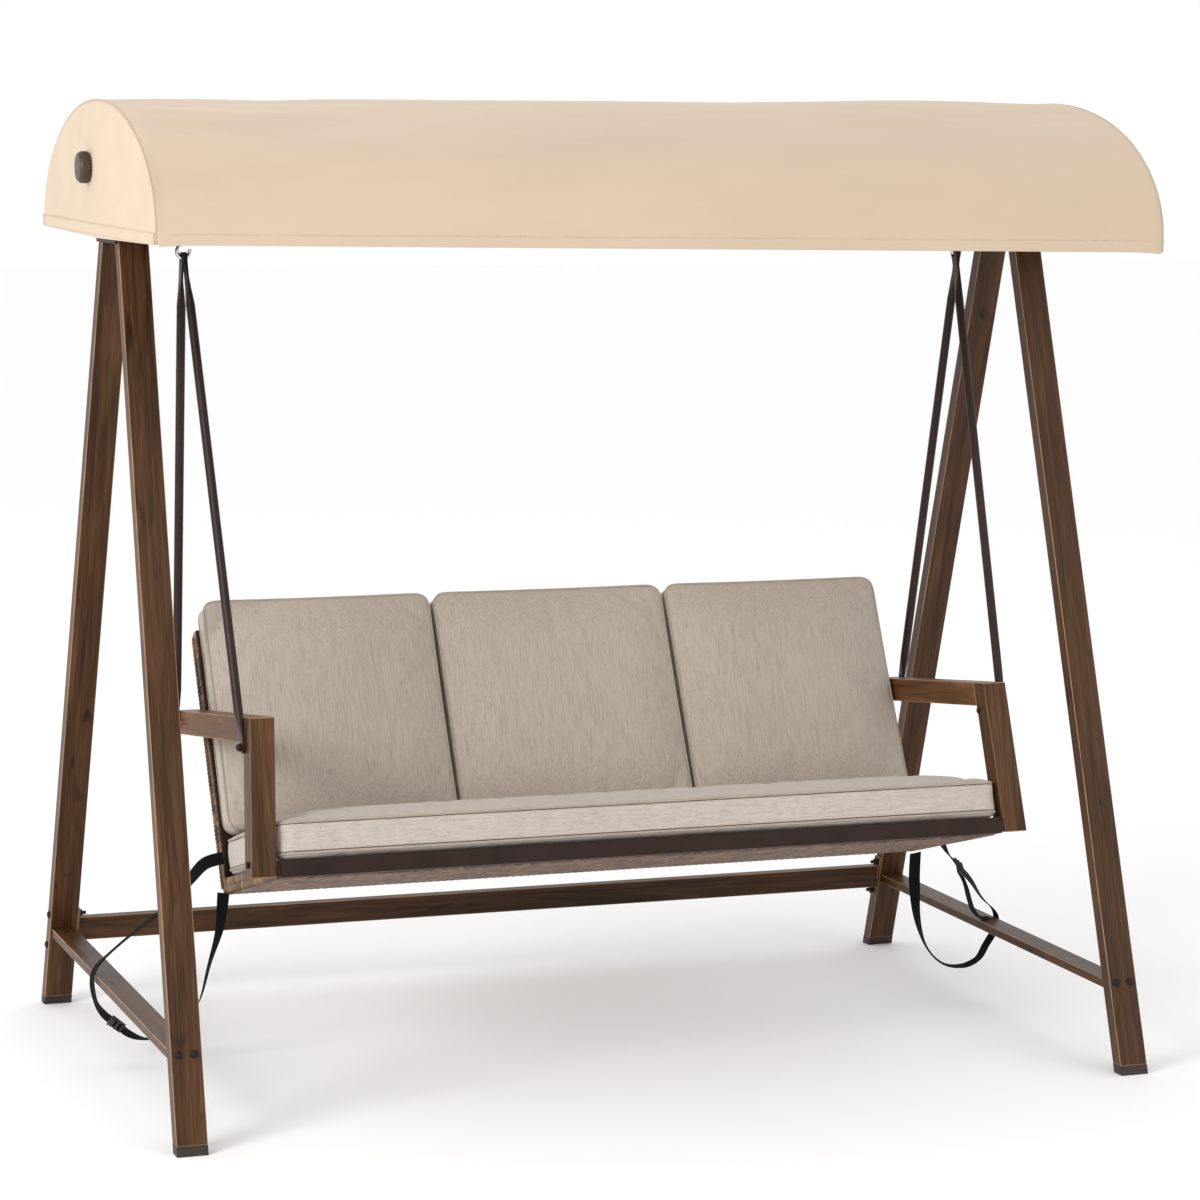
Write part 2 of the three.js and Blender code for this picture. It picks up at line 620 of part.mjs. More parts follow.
// ----------------------------------------------------------------- the cushions
// soft block with blunt edges
function cushion(x0, x1, y0, y1, z0, z1, blunt) {
  const ring = (x, inset) => [
    [y0 + inset + blunt, z0 + inset], [y1 - inset - blunt, z0 + inset],
    [y1 - inset, z0 + inset + blunt], [y1 - inset, z1 - inset - blunt],
    [y1 - inset - blunt, z1 - inset], [y0 + inset + blunt, z1 - inset],
    [y0 + inset, z1 - inset - blunt], [y0 + inset, z0 + inset + blunt],
  ].map(([y, z]) => new THREE.Vector3(x, y, z));
  return loft([ring(x0, blunt), ring(x0 + blunt, 0), ring(x1 - blunt, 0), ring(x1, blunt)]);
}

function buildSeat() {
  place(deck, 'seat_frame', seatFrame(), darkSteel);
  place(deck, 'seat_panel', seatPanel(), wicker);
  place(back, 'back_frame', backFrame(), darkSteel);
  place(back, 'back_panel', backPanel(), wicker);
  for (const [hand, side] of SIDES) {
    place(seat, `arm_post_${hand}`, armPost(side), walnutSteel);
    place(seat, `armrest_${hand}`, armrest(side), walnutSteel);
  }
  const seatCushion = cushion(-CUSHION_HALF, CUSHION_HALF, 0, 414, 0.5, SEAT_CUSHION_HEIGHT, 12);
  place(deck, 'seat_cushion', seatCushion, cushionCloth);
  const seams = [-754, -259, 259, 754];
  ['left', 'middle', 'right'].forEach((where, i) => {
    const pad = cushion(seams[i] + 2, seams[i + 1] - 2, BACK_FRONT - 0.5 - BACK_CUSHION_DEPTH, BACK_FRONT - 0.5,
      BACK_CUSHION_FOOT, BACK_CUSHION_FOOT + BACK_CUSHION_HEIGHT, 12);
    place(back, `back_cushion_${where}`, pad, cushionCloth);
  });
}

// ------------------------------------------------------------ the hanging rods
function seatToWorld(x, y, z) {
  seat.updateMatrix();
  return new THREE.Vector3(x, y, z).applyMatrix4(seat.matrix);
}

// section of a rod: round in the middle, flattened in X at the ends
function rodRing(centre, rise, flat) {
  const across = new THREE.Vector3(0, rise.z, -rise.y).normalize();
  const halfX = THREE.MathUtils.lerp(ROD_R, ROD_TAB, flat);
  const halfW = THREE.MathUtils.lerp(ROD_R, 12, flat);
  const power = THREE.MathUtils.lerp(1, 0.35, flat);
  const ring = [];
  for (let i = 0; i < 12; i += 1) {
    const turn = (i + 0.5) * Math.PI / 6;
    const u = halfX * Math.sign(Math.cos(turn)) * Math.abs(Math.cos(turn)) ** power;
    const v = halfW * Math.sign(Math.sin(turn)) * Math.abs(Math.sin(turn)) ** power;
    ring.push(centre.clone().add(new THREE.Vector3(u, 0, 0)).addScaledVector(across, v));
  }
  return ring;
}

// spread places the upper end beside the other rod on the same hook
function hangingRod(side, eye, spread) {
  const tabX = side * (armMiddle(eye.y, eye.z) + ARM_SIZE / 2 + ROD_TAB + 1.5);
  const foot = seatToWorld(tabX, eye.y, eye.z);
  const head = new THREE.Vector3(side * (HOOK_X + spread), 0, SWING_Z);
  const rise = head.clone().sub(foot);
  const length = rise.length();
  const spot = (distance) => foot.clone().addScaledVector(rise, distance / length);
  const footTab = spot(22).setX(foot.x);
  const headTab = spot(length - 42).setX(head.x);
  const [low, high] = [spot(70), spot(length - 95)];
  const skin = loft([rodRing(foot, rise, 1), rodRing(footTab, rise, 1), rodRing(low, rise, 0),
    rodRing(high, rise, 0), rodRing(headTab, rise, 1), rodRing(head, rise, 1)]);
  const disc = (p) => bar(12, [p.x - ROD_TAB, p.y, p.z], [p.x + ROD_TAB, p.y, p.z], 20);
  const drill = (p, radius) => bar(radius, [p.x - 10, p.y, p.z], [p.x + 10, p.y, p.z], 16);
  const [boreLow, boreHigh] = [spot(82), spot(length - 107)];
  const bore = bar(ROD_R - WALL, boreLow.toArray(), boreHigh.toArray());
  const weep = bar(2, spot(90).toArray(), spot(90).setX(foot.x - side * 30).toArray(), 8);
  return cut(join(skin, disc(foot), disc(head)), bore, weep, drill(foot, HOLE_R), drill(head, 7));
}

function rodBolt(side, eye) {
  const clear = 3 * GAP;
  const inner = armMiddle(eye.y, eye.z) - ARM_SIZE / 2 - clear;
  const grip = ARM_SIZE + 1.5 + 2 * ROD_TAB + clear + GAP;
  return aim(capNutBolt(grip), [side * inner, eye.y, eye.z], [side, 0, 0]);
}

function buildRods() {
  for (const [hand, side] of SIDES) {
    place(root, `rod_front_${hand}`, hangingRod(side, FRONT_EYE, -EYE_SPREAD), rodSteel);
    place(root, `rod_rear_${hand}`, hangingRod(side, REAR_EYE, EYE_SPREAD), rodSteel);
    place(seat, `rod_bolt_front_${hand}`, rodBolt(side, FRONT_EYE), darkSteel);
    place(seat, `rod_bolt_rear_${hand}`, rodBolt(side, REAR_EYE), darkSteel);
  }
}

// ------------------------------------------------------------------ the webbing
// each stop on a route is x, y, z and the direction of the webbing's width there
const STRAP_LEFT = [
  [-764, -26, 351, 1, 0, 0], [-772, -30, 288, 0.8, 0.5, 0], [-791, -20, 213, 0.55, 0.85, 0],
  [-808, 0, 131, 0.4, 0.9, 0.1], [-839, 25, 76, 0.15, 0.98, -0.1], [-871, 45, 54, 0.08, 0.95, -0.3],
  [-906, 55, 49, 0.03, 0.9, -0.4], [-937, 65, 59, -0.2, 0.75, -0.6], [-961, 75, 79, -0.2, 0.75, -0.6],
  [-985, 85, 99, -0.2, 0.75, -0.6], [-999, 95, 123, -0.1, 0.93, -0.3], [-1005, 100, 159, -0.15, 0.96, -0.1],
  [-1001, 100, 185, 0.1, 0.96, 0.3], [-980, 80, 219, 0.4, 0.9, 0.2], [-939, 55, 263, 0.4, 0.9, 0.15],
  [-888, 25, 312, 0.35, 0.9, 0.25], [-861, -5, 352, -0.1, 0.8, 0.6], [-832, -30, 393, -0.3, 0.75, 0.6],
  [-805, -40, 424, -0.3, 0.5, 0.8], [-768, -42, 434, 0, 0, 1],
];
const STRAP_RIGHT = [
  [768, -134, 396, 0, 1, -0.3], [800, -103, 362, 0.2, 1, 0], [852, -57, 320, 0.5, 0.8, 0],
  [904, -11, 278, 0.5, 0.8, 0], [958, 42, 228, 0.4, 0.9, 0], [996, 60, 194, 0.1, 1, 0],
  [1003, 58, 174, 0, 1, 0], [1001, 53, 158, 0, 1, 0], [988, 44, 144, 0, 1, 0], [962, 25, 124, 0, 1, 0],
  [935, 10, 99, 0, 1, 0], [905, 25, 82, 0, 1, 0], [872, 52, 84, 0.3, 1, 0],
  [842, 68, 118, 0.5, 1, 0], [808, 48, 190, 0.8, 0.6, 0], [780, 10, 280, 1, 0, 0],
  [764, -24, 350, 1, 0, 0],
];

// position, run and width direction of the webbing at a fraction t of its route
function strapFrame(route, t) {
  const spine = new THREE.CatmullRomCurve3(route.map(([x, y, z]) => new THREE.Vector3(x, y, z)));
  const faces = new THREE.CatmullRomCurve3(
    route.map(([, , , u, v, w]) => new THREE.Vector3(u, v, w)), false, 'catmullrom');
  const run = spine.getTangent(t);
  const width = faces.getPoint(t).addScaledVector(run, -faces.getPoint(t).dot(run)).normalize();
  return { point: spine.getPoint(t), run, width, normal: run.clone().cross(width) };
}

function strap(route, steps) {
  const rings = [];
  for (let step = 0; step <= steps; step += 1) {
    const { point, width, normal } = strapFrame(route, step / steps);
    rings.push([[-1, -1], [1, -1], [1, 1], [-1, 1]].map(([i, j]) => point.clone()
      .addScaledVector(width, i * STRAP_WIDTH / 2).addScaledVector(normal, j * STRAP_THICK / 2)));
  }
  return loft(rings);
}

// slotted slide that the webbing runs through at the numbered stop
function buckle(route, stop) {
  const { point, run, width, normal } = strapFrame(route, stop / (route.length - 1));
  const turn = new THREE.Matrix4().makeBasis(run, width, normal).setPosition(point);
  const body = box(-16, 16, -17, 17, -5, 6);
  const slot = box(-17, 17, -13.2, 13.2, -2.2, 2.2);
  return cut(body, slot).applyMatrix4(turn);
}

function buildStraps() {
  place(root, 'strap_left', strap(STRAP_LEFT, 72), webbing);
  place(root, 'strap_buckle_left', buckle(STRAP_LEFT, 8), darkPlastic);
  place(root, 'strap_right', strap(STRAP_RIGHT, 60), webbing);
  place(root, 'strap_buckle_right', buckle(STRAP_RIGHT, 2), darkPlastic);
}

buildStand();
buildCanopy();
buildSeat();
buildRods();
buildStraps();

export default root;
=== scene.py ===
"""Looks of the canopy swing bench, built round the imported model. Metres, +Z up."""
import math
import re
import bmesh
import bpy
from mathutils import Matrix, Vector, noise
from mathutils.bvhtree import BVHTree
from mathutils.kdtree import KDTree


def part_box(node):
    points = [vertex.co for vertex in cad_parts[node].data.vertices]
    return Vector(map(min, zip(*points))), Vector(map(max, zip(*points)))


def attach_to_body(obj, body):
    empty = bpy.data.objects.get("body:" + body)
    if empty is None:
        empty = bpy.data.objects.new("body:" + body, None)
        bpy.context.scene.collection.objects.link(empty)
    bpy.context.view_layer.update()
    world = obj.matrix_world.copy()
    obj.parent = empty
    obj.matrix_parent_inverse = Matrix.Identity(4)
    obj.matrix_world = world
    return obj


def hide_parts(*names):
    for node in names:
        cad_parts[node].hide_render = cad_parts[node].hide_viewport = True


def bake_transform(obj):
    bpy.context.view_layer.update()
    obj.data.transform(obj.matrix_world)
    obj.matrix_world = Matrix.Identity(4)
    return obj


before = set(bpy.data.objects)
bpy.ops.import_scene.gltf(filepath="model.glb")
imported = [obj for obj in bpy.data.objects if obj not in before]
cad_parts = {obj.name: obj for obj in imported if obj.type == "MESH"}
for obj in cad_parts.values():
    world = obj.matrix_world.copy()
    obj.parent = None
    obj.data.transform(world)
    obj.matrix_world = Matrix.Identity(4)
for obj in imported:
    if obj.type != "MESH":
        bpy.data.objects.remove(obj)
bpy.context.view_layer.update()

SCENE = bpy.context.scene
SIDES = (("left", -1), ("right", 1))
ENDS = (("front", -1), ("rear", 1))
LEG_RAKE = math.radians(17.6)
LEG_TILT = math.radians(0.75)
SEAT_SLOPE = math.radians(7.5)
DECK_SLOPE = SEAT_SLOPE + math.radians(8.6)
BACK_SLOPE = SEAT_SLOPE + math.radians(19)
POST_LEAN = 0.13  # run over rise
MM = 0.001


# ---- camera and studio
def make_camera():
    data = bpy.data.cameras.new("camera")
    data.lens = 104.7
    data.sensor_width = 36
    data.shift_x = 0.1515
    data.shift_y = 0.0145
    camera = bpy.data.objects.new("camera", data)
    SCENE.collection.objects.link(camera)
    pan, tilt, roll = 0.3122, -0.1384, 0.0053
    aim = Vector((math.sin(pan) * math.cos(tilt), math.cos(pan) * math.cos(tilt), math.sin(tilt)))
    turn = aim.to_track_quat("-Z", "Y").to_matrix().to_4x4() @ Matrix.Rotation(roll, 4, "Z")
    camera.matrix_world = Matrix.Translation((-2.498, -6.662, 1.872)) @ turn
    SCENE.camera = camera


def area_light(name, place, target, size, power):
    data = bpy.data.lights.new(name, "AREA")
    data.shape = "DISK"
    data.size = size
    data.energy = power
    light = bpy.data.objects.new(name, data)
    SCENE.collection.objects.link(light)
    light.location = place
    light.rotation_euler = (Vector(target) - Vector(place)).to_track_quat("-Z", "Y").to_euler()


def make_studio():
    world = bpy.data.worlds.new("studio")
    world.use_nodes = True
    background = world.node_tree.nodes["Background"].inputs
    background["Color"].default_value = (1, 1, 1, 1)
    background["Strength"].default_value = 1.0
    SCENE.world = world
    SCENE.view_settings.view_transform = "Standard"
    area_light("key", (-5.6, -2.9, 3.4), (0, 0, 1.0), 2.6, 190)
    area_light("fill", (3.6, -5.0, 2.6), (0, 0, 0.8), 3.5, 20)
    reach = 40
    corners = [(-reach, -reach, 0), (reach, -reach, 0), (reach, reach, 0), (-reach, reach, 0)]
    floor = mesh_object("floor", corners, [(0, 1, 2, 3)], plain("floor_paint", grey(0.99), 1.0))


# ---- mesh helpers
def set_all(thing, settings):
    for key, value in settings.items():
        setattr(thing, key, value)


def modifier(piece, name, kind, **settings):
    added = piece.modifiers.new(name, kind)
    set_all(added, settings)
    return added


def mesh_object(name, verts, faces, look, smooth=False):
    mesh = bpy.data.meshes.new(name)
    mesh.from_pydata([tuple(v) for v in verts], [], faces)
    mesh.update()
    mesh.materials.append(look)
    if smooth:
        mesh.shade_smooth()
    piece = bpy.data.objects.new(name, mesh)
    SCENE.collection.objects.link(piece)
    return piece


def attach(piece, body):
    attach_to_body(piece, body)
    return piece


def lofted(loops, closed=False):
    """Verts and faces through loops of equal length: the last joins the first, or both ends are capped."""
    verts = [point for loop in loops for point in loop]
    total, step = len(verts), len(loops[0])
    faces = []
    for base in range(0, total if closed else total - step, step):
        for i in range(step):
            a, b = base + i, base + (i + 1) % step
            faces.append((a, b, (b + step) % total, (a + step) % total))
    if not closed:
        faces += [tuple(range(step))[::-1], tuple(range(total - step, total))]
    return verts, faces


def swept(path, section, closed=False, side=None):
    """Verts and faces of a flat section, a list of (across, up), carried along a path."""
    count = len(path)
    loops = []
    up = None
    for i, point in enumerate(path):
        ahead = path[(i + 1) % count] if closed or i < count - 1 else point
        behind = path[i - 1] if closed or i > 0 else point
        run = (ahead - behind).normalized()
        if side:
            across = side[i] - run * side[i].dot(run)
        elif up is None:
            across = run.orthogonal()
        else:
            across = up.cross(run)
        across.normalize()
        up = run.cross(across)
        loops.append([point + across * a + up * b for a, b in section])
    return lofted(loops, closed)


def circle(radius, sides):
    return [(radius * math.cos(2 * math.pi * i / sides), radius * math.sin(2 * math.pi * i / sides))
            for i in range(sides)]


def blunt_square(flat):
    """Section of a square of half-width 1 with cut corners; flat is half of what is left of each side."""
    return [(-1, -flat), (-flat, -1), (flat, -1), (1, -flat), (1, flat), (flat, 1), (-flat, 1), (-1, flat)]


SOFT_SQUARE = blunt_square(0.7)


def smooth_path(stops, per_span):
    """Points on a Catmull-Rom curve through the stops."""
    out = []
    last = len(stops) - 1
    for i in range(last):
        a, b, c, d = (stops[min(max(i + k, 0), last)] for k in (-1, 0, 1, 2))
        for j in range(per_span):
            t = j / per_span
            out.append(0.5 * ((2 * b) + (c - a) * t + (2 * a - 5 * b + 4 * c - d) * t * t
                              + (3 * b - a - 3 * c + d) * t ** 3))
    out.append(stops[-1].copy())
    return out


def joined(parts):
    """One list of verts and one of faces from several."""
    verts, faces = [], []
    for part_verts, part_faces in parts:
        base = len(verts)
        verts += part_verts
        faces += [tuple(k + base for k in face) for face in part_faces]
    return verts, faces


def round_edges(piece, width, segments):
    return modifier(piece, "rounded_edges", "BEVEL", width=width, segments=segments, limit_method="ANGLE")


def weld(piece):
    """Merge the points that lie on each other."""
    work = bmesh.new()
    work.from_mesh(piece.data)
    bmesh.ops.remove_doubles(work, verts=work.verts, dist=0.02 * MM)
    work.to_mesh(piece.data)
    work.free()


class Tilted:
    """The frame of a group of CAD nodes that are level in it, leaning back by a slope about X."""
    def __init__(self, slope):
        self.turn = Matrix.Rotation(-slope, 3, "X")
        self.back = self.turn.transposed()

    def box(self, node):
        points = [self.back @ v.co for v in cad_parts[node].data.vertices]
        low = Vector(min(p[i] for p in points) for i in range(3))
        high = Vector(max(p[i] for p in points) for i in range(3))
        return low, high

    def world(self, point):
        return self.turn @ Vector(point)


DECK = Tilted(DECK_SLOPE)
SEAT = Tilted(SEAT_SLOPE)
BACK = Tilted(BACK_SLOPE)


# ---- materials
def linear(colour):
    return tuple(c / 12.92 if c <= 0.04045 else ((c + 0.055) / 1.055) ** 2.4 for c in colour) + (1,)


def plain(name, colour, rough, metal=0.0):
    look = bpy.data.materials.new(name)
    look.use_nodes = True
    shader = look.node_tree.nodes["Principled BSDF"]
    shader.inputs["Base Color"].default_value = linear(colour)
    shader.inputs["Roughness"].default_value = rough
    shader.inputs["Metallic"].default_value = metal
    return look


class Nodes:
    """Short calls for building one material's node tree."""
    def __init__(self, look):
        self.tree = look.node_tree
        self.shader = look.node_tree.nodes["Principled BSDF"]

    def add(self, kind, inputs=None, **settings):
        node = self.tree.nodes.new(kind)
        set_all(node, settings)
        for key, value in (inputs or {}).items():
            if isinstance(value, bpy.types.NodeSocket):
                self.tree.links.new(value, node.inputs[key])
            else:
                node.inputs[key].default_value = value
        return node

    def place(self, direction=(0, 0, 1), scale=(1, 1, 1)):
        """Object coordinates turned so that direction is Z, then scaled."""
        coordinates = self.add("ShaderNodeTexCoord").outputs["Object"]
        turn = Vector(direction).rotation_difference(Vector((0, 0, 1))).to_euler()
        turned = self.add("ShaderNodeMapping", {"Vector": coordinates, "Rotation": turn})
        return self.add("ShaderNodeMapping", {"Vector": turned.outputs[0], "Scale": scale}).outputs[0]

    def noise(self, vector, scale, detail=4.0, rough=0.5, distortion=0.0):
        return self.add("ShaderNodeTexNoise", {
            "Vector": vector, "Scale": scale, "Detail": detail, "Roughness": rough,
            "Distortion": distortion}).outputs["Fac"]

    def ramp(self, value, stops):
        node = self.add("ShaderNodeValToRGB", {"Fac": value})
        elements = node.color_ramp.elements
        while len(elements) < len(stops):
            elements.new(0.5)
        for element, (position, colour) in zip(elements, stops):
            element.position = position
            element.color = linear(colour)
        return node.outputs["Color"]

    def math(self, operation, a, b):
        return self.add("ShaderNodeMath", {0: a, 1: b}, operation=operation).outputs[0]

    def mix(self, factor, a, b, blend="MIX"):
        node = self.add("ShaderNodeMix", {0: factor, 6: a, 7: b}, data_type="RGBA", blend_type=blend)
        return node.outputs[2]

    def bump(self, height, strength, distance):
        return self.add("ShaderNodeBump", {
            "Height": height, "Strength": strength, "Distance": distance}).outputs["Normal"]

    def set(self, socket, value):
        self.tree.links.new(value, self.shader.inputs[socket])

    def mottle(self, colour, scale, detail):
        """Base colour that wanders a little round the given one."""
        cloud = self.noise(self.place(), scale, detail)
        self.set("Base Color", self.ramp(cloud, [(0.3, tinted(colour, 0.85)), (0.7, tinted(colour, 1.15))]))


def grey(value):
    return (value, value, value)


def tinted(colour, factor):
    return tuple(min(1, c * factor) for c in colour)


def wood_print(name, direction, tone=1.0):
    """Brown wood grain printed along a steel tube, under satin lacquer."""
    look = plain(name, (0.33, 0.23, 0.15), 0.42)
    n = Nodes(look)
    streaks = n.noise(n.place(direction, (75, 75, 3.0)), 1.0, 6, 0.58, 1.3)
    pores = n.noise(n.place(direction, (520, 520, 12)), 1.0, 3, 0.6, 0.3)
    bands = n.noise(n.place(direction, (9, 9, 1.6)), 1.0, 3, 0.5, 1.5)
    knots = n.noise(n.place(direction, (11, 11, 3.2)), 1.0, 1, 0.4, 2.6)
    browns = [(0.28, (0.215, 0.135, 0.072)), (0.44, (0.30, 0.195, 0.112)),
              (0.58, (0.365, 0.24, 0.143)), (0.76, (0.45, 0.31, 0.195))]
    base = n.ramp(streaks, [(place, tinted(brown, tone)) for place, brown in browns])
    patch = n.ramp(bands, [(0.3, grey(0.72)), (0.7, grey(1.0))])
    knot = n.ramp(knots, [(0.24, grey(0.55)), (0.33, grey(1.0))])
    fine = n.ramp(pores, [(0.32, grey(0.68)), (0.5, grey(1.0))])
    colour = n.mix(0.6, n.mix(0.9, base, patch, "MULTIPLY"), fine, "MULTIPLY")
    n.set("Base Color", n.mix(0.8, colour, knot, "MULTIPLY"))
    n.set("Roughness", n.ramp(streaks, [(0.3, grey(0.62)), (0.8, grey(0.72))]))
    n.set("Normal", n.bump(n.math("ADD", streaks, n.math("MULTIPLY", pores, 0.4)), 0.35, 0.0006))
    n.shader.inputs["Specular IOR Level"].default_value = 0.2
    return look


def coated(name, colour, rough=0.4):
    """Powder-coated steel with fine orange peel, faintly mottled."""
    look = plain(name, colour, rough)
    n = Nodes(look)
    peel = n.noise(n.place(), 900, 3)
    n.mottle(colour, 14, 4)
    n.set("Normal", n.bump(peel, 0.25, 0.0004))
    n.shader.inputs["Specular IOR Level"].default_value = 0.2
    return look


def zinc(name):
    look = plain(name, (0.82, 0.82, 0.83), 0.22, 1.0)
    n = Nodes(look)
    spots = n.noise(n.place(), 260, 5, 0.7)
    n.set("Roughness", n.ramp(spots, [(0.35, grey(0.42)), (0.7, grey(0.6))]))
    n.set("Normal", n.bump(spots, 0.2, 0.0003))
    return look


def moulded(name, colour, rough=0.55):
    look = plain(name, colour, rough)
    n = Nodes(look)
    grain = n.noise(n.place(), 1400, 2)
    n.mottle(colour, 30, 3)
    n.set("Normal", n.bump(grain, 0.3, 0.0003))
    return look


def weave_height(n, direction, threads):
    """Plain weave: two sets of ribs at right angles, threads per metre."""
    place = n.place(direction)
    parts = n.add("ShaderNodeSeparateXYZ", {"Vector": place})
    wobble = n.noise(place, 38, 2)
    ribs = []
    for axis in ("X", "Y", "Z"):
        phase = n.math("ADD", n.math("MULTIPLY", parts.outputs[axis], threads * 2 * math.pi),
                       n.math("MULTIPLY", wobble, 6.0))
        ribs.append(n.math("SINE", phase, 0.0))
    crossing = n.math("MULTIPLY", n.math("ADD", ribs[0], ribs[1]), ribs[2])
    return n.math("MULTIPLY", crossing, 0.25)


def linen(name, along, warm, light):
    """Greige cushion cloth: a fine weave with slubs that run along one direction."""
    look = plain(name, light, 0.95)
    n = Nodes(look)
    weave = weave_height(n, along, 420)
    slub = n.noise(n.place(along, (650, 650, 22)), 1.0, 3, 0.6)
    thread = n.noise(n.place(along, (1500, 1500, 260)), 1.0, 2, 0.5)
    cloud = n.noise(n.place(along), 3, 2)
    both = n.math("ADD", n.math("MULTIPLY", slub, 0.65), n.math("MULTIPLY", thread, 0.35))
    colour = n.ramp(both, [(0.36, warm), (0.5, light), (0.66, tinted(light, 1.07))])
    shade = n.ramp(cloud, [(0.3, grey(0.98)), (0.7, grey(1.0))])
    n.set("Base Color", n.mix(1.0, colour, shade, "MULTIPLY"))
    n.set("Normal", n.bump(n.math("ADD", n.math("MULTIPLY", weave, 0.5), both), 0.45, 0.0009))
    n.shader.inputs["Sheen Weight"].default_value = 0.15
    n.shader.inputs["Sheen Roughness"].default_value = 0.6
    return look


def polyester(name, colour):
    """Plain canopy cloth, finely woven, with faint creases."""
    look = plain(name, colour, 0.85)
    n = Nodes(look)
    weave = weave_height(n, (0, 0, 1), 700)
    cloud = n.noise(n.place(scale=(1, 3, 3)), 2.4, 4, 0.55)
    n.set("Base Color", n.ramp(cloud, [(0.3, tinted(colour, 0.965)), (0.7, colour)]))
    crease = n.noise(n.place(scale=(1.2, 6, 6)), 3.0, 5, 0.6, 0.5)
    n.set("Normal", n.bump(n.math("ADD", n.math("MULTIPLY", weave, 0.05), crease), 0.25, 0.004))
    n.shader.inputs["Sheen Weight"].default_value = 0.15
    return look


def webbing_look():
    look = plain("webbing", (0.05, 0.045, 0.045), 0.9)
    n = Nodes(look)
    ribs = n.noise(n.place(), 1800, 2)
    n.set("Base Color", n.ramp(ribs, [(0.3, grey(0.03)), (0.7, (0.085, 0.075, 0.075))]))
    n.shader.inputs["Specular IOR Level"].default_value = 0.15
    n.set("Normal", n.bump(ribs, 0.6, 0.0006))
    return look


def resin_look(name, woven):
    """Tan and brown resin strip; a woven slab carries each strip's tone and depth as a mesh attribute, and
    the depth darkens the low parts between strips as painted shade.
    """
    look = plain(name, (0.55, 0.40, 0.28), 0.5)
    n = Nodes(look)
    fleck = n.noise(n.place(scale=(420, 420, 420)), 1.0, 3, 0.6)
    tones = [(0.32, (0.22, 0.145, 0.095)), (0.5, (0.42, 0.29, 0.19)), (0.68, (0.60, 0.445, 0.305))]
    flecks = n.ramp(fleck, [(0.3, grey(0.72)), (0.6, grey(1.0))])
    if woven:
        strand = n.add("ShaderNodeAttribute", attribute_name="strand")
        parts = n.add("ShaderNodeSeparateColor", {"Color": strand.outputs["Color"]})
        colour = n.ramp(parts.outputs["Red"], tones)
        # painted shade: the strips darken to 0.12 where they sink low between their neighbours
        painted_gap_shade = n.ramp(parts.outputs["Green"], [(0.05, grey(0.12)), (0.55, grey(1.0))])
        colour = n.mix(1.0, colour, painted_gap_shade, "MULTIPLY")
    else:
        colour = n.ramp(n.noise(n.place(scale=(30, 30, 30)), 1.0, 2), tones)
    n.set("Base Color", n.mix(0.7, colour, flecks, "MULTIPLY"))
    n.set("Normal", n.bump(fleck, 0.3, 0.0004))
    return look


def paint_node(node, look):
    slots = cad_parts[node].data.materials
    if not slots:
        slots.append(look)
    for i in range(len(slots)):
        slots[i] = look


def leg_direction(side, end):
    return Vector((-side * math.tan(LEG_TILT), -end * math.tan(LEG_RAKE), 1)).normalized()


def make_looks():
    looks = {
        "steel": coated("dark_steel", (0.155, 0.095, 0.07), 0.45),
        "rod": coated("rod_steel", (0.19, 0.125, 0.105), 0.36),
        "zinc": zinc("bright_steel"),
        "plastic": moulded("dark_plastic", (0.16, 0.11, 0.085)),
        "knob": moulded("brown_plastic", (0.25, 0.175, 0.145), 0.45),
        "canopy": polyester("canopy_cloth", (0.795, 0.712, 0.617)),
        "piping": polyester("canopy_piping", (0.725, 0.648, 0.562)),
        "seat_cloth": linen("seat_cloth", (1, 0, 0), (0.635, 0.59, 0.545), (0.73, 0.69, 0.65)),
        "back_cloth": linen("back_cloth", BACK.world((0, 0, 1)),
                            (0.615, 0.565, 0.515), (0.71, 0.662, 0.612)),
        "cord_cloth": linen("cord_cloth", (1, 0, 0), (0.57, 0.515, 0.455), (0.66, 0.61, 0.55)),
        "thread": moulded("thread", (0.80, 0.72, 0.63), 0.8),
        # dark cord colour for the painted shadow line beside the piping
        "seam_shadow_line": moulded("seam_shadow_line", (0.36, 0.31, 0.27), 0.9),
        "resin": moulded("resin_backing", (0.23, 0.16, 0.115), 0.7),
        "weave": resin_look("woven_resin", True),
        "braid": resin_look("braided_resin", False),
        "webbing": webbing_look(),
        "wood_x": wood_print("wood_across", (1, 0, 0), 0.9),
        "wood_y": wood_print("wood_along", (0, 1, 0)),
        "wood_post": wood_print("wood_post", SEAT.world((0, POST_LEAN, 1)).normalized(), 1.15),
        # tone 1.4 is painted light: a lighter copy of the wood print for the armrests, whose top faces catch
        # the light
        "wood_arm": wood_print("wood_arm", SEAT.world((0, 1, 0)), 1.4),
        # painted highlight: a light brown for the bevels of the wooden parts, standing in for the light their
        # edges catch
        "edge_highlight": coated("painted_edge_highlight", (0.60, 0.455, 0.335), 0.5),
    }
    for hand, side in SIDES:
        for where, end in ENDS:
            looks[f"wood_{where}_{hand}"] = wood_print(f"wood_{where}_{hand}", leg_direction(side, end))
    return looks


# the look of each CAD node but the legs: the first pattern that its name matches
PAINT = (("bolt|bracket|^seat_frame$|^back_frame$", "steel"), ("^rod_", "rod"), ("^swing_hook", "zinc"),
         ("knob", "knob"), ("foot_cap|buckle", "plastic"), ("^side_rail", "wood_y"),
         ("^arm_post", "wood_post"), ("^armrest", "wood_arm"), ("_panel$", "resin"), ("", "wood_x"))
# width of the bevel that carries the painted edge highlight
HIGHLIGHT_BEVEL = 1.5 * MM
KNOB_EDGE = 1.5 * MM
SMALL_EDGE = 0.6 * MM


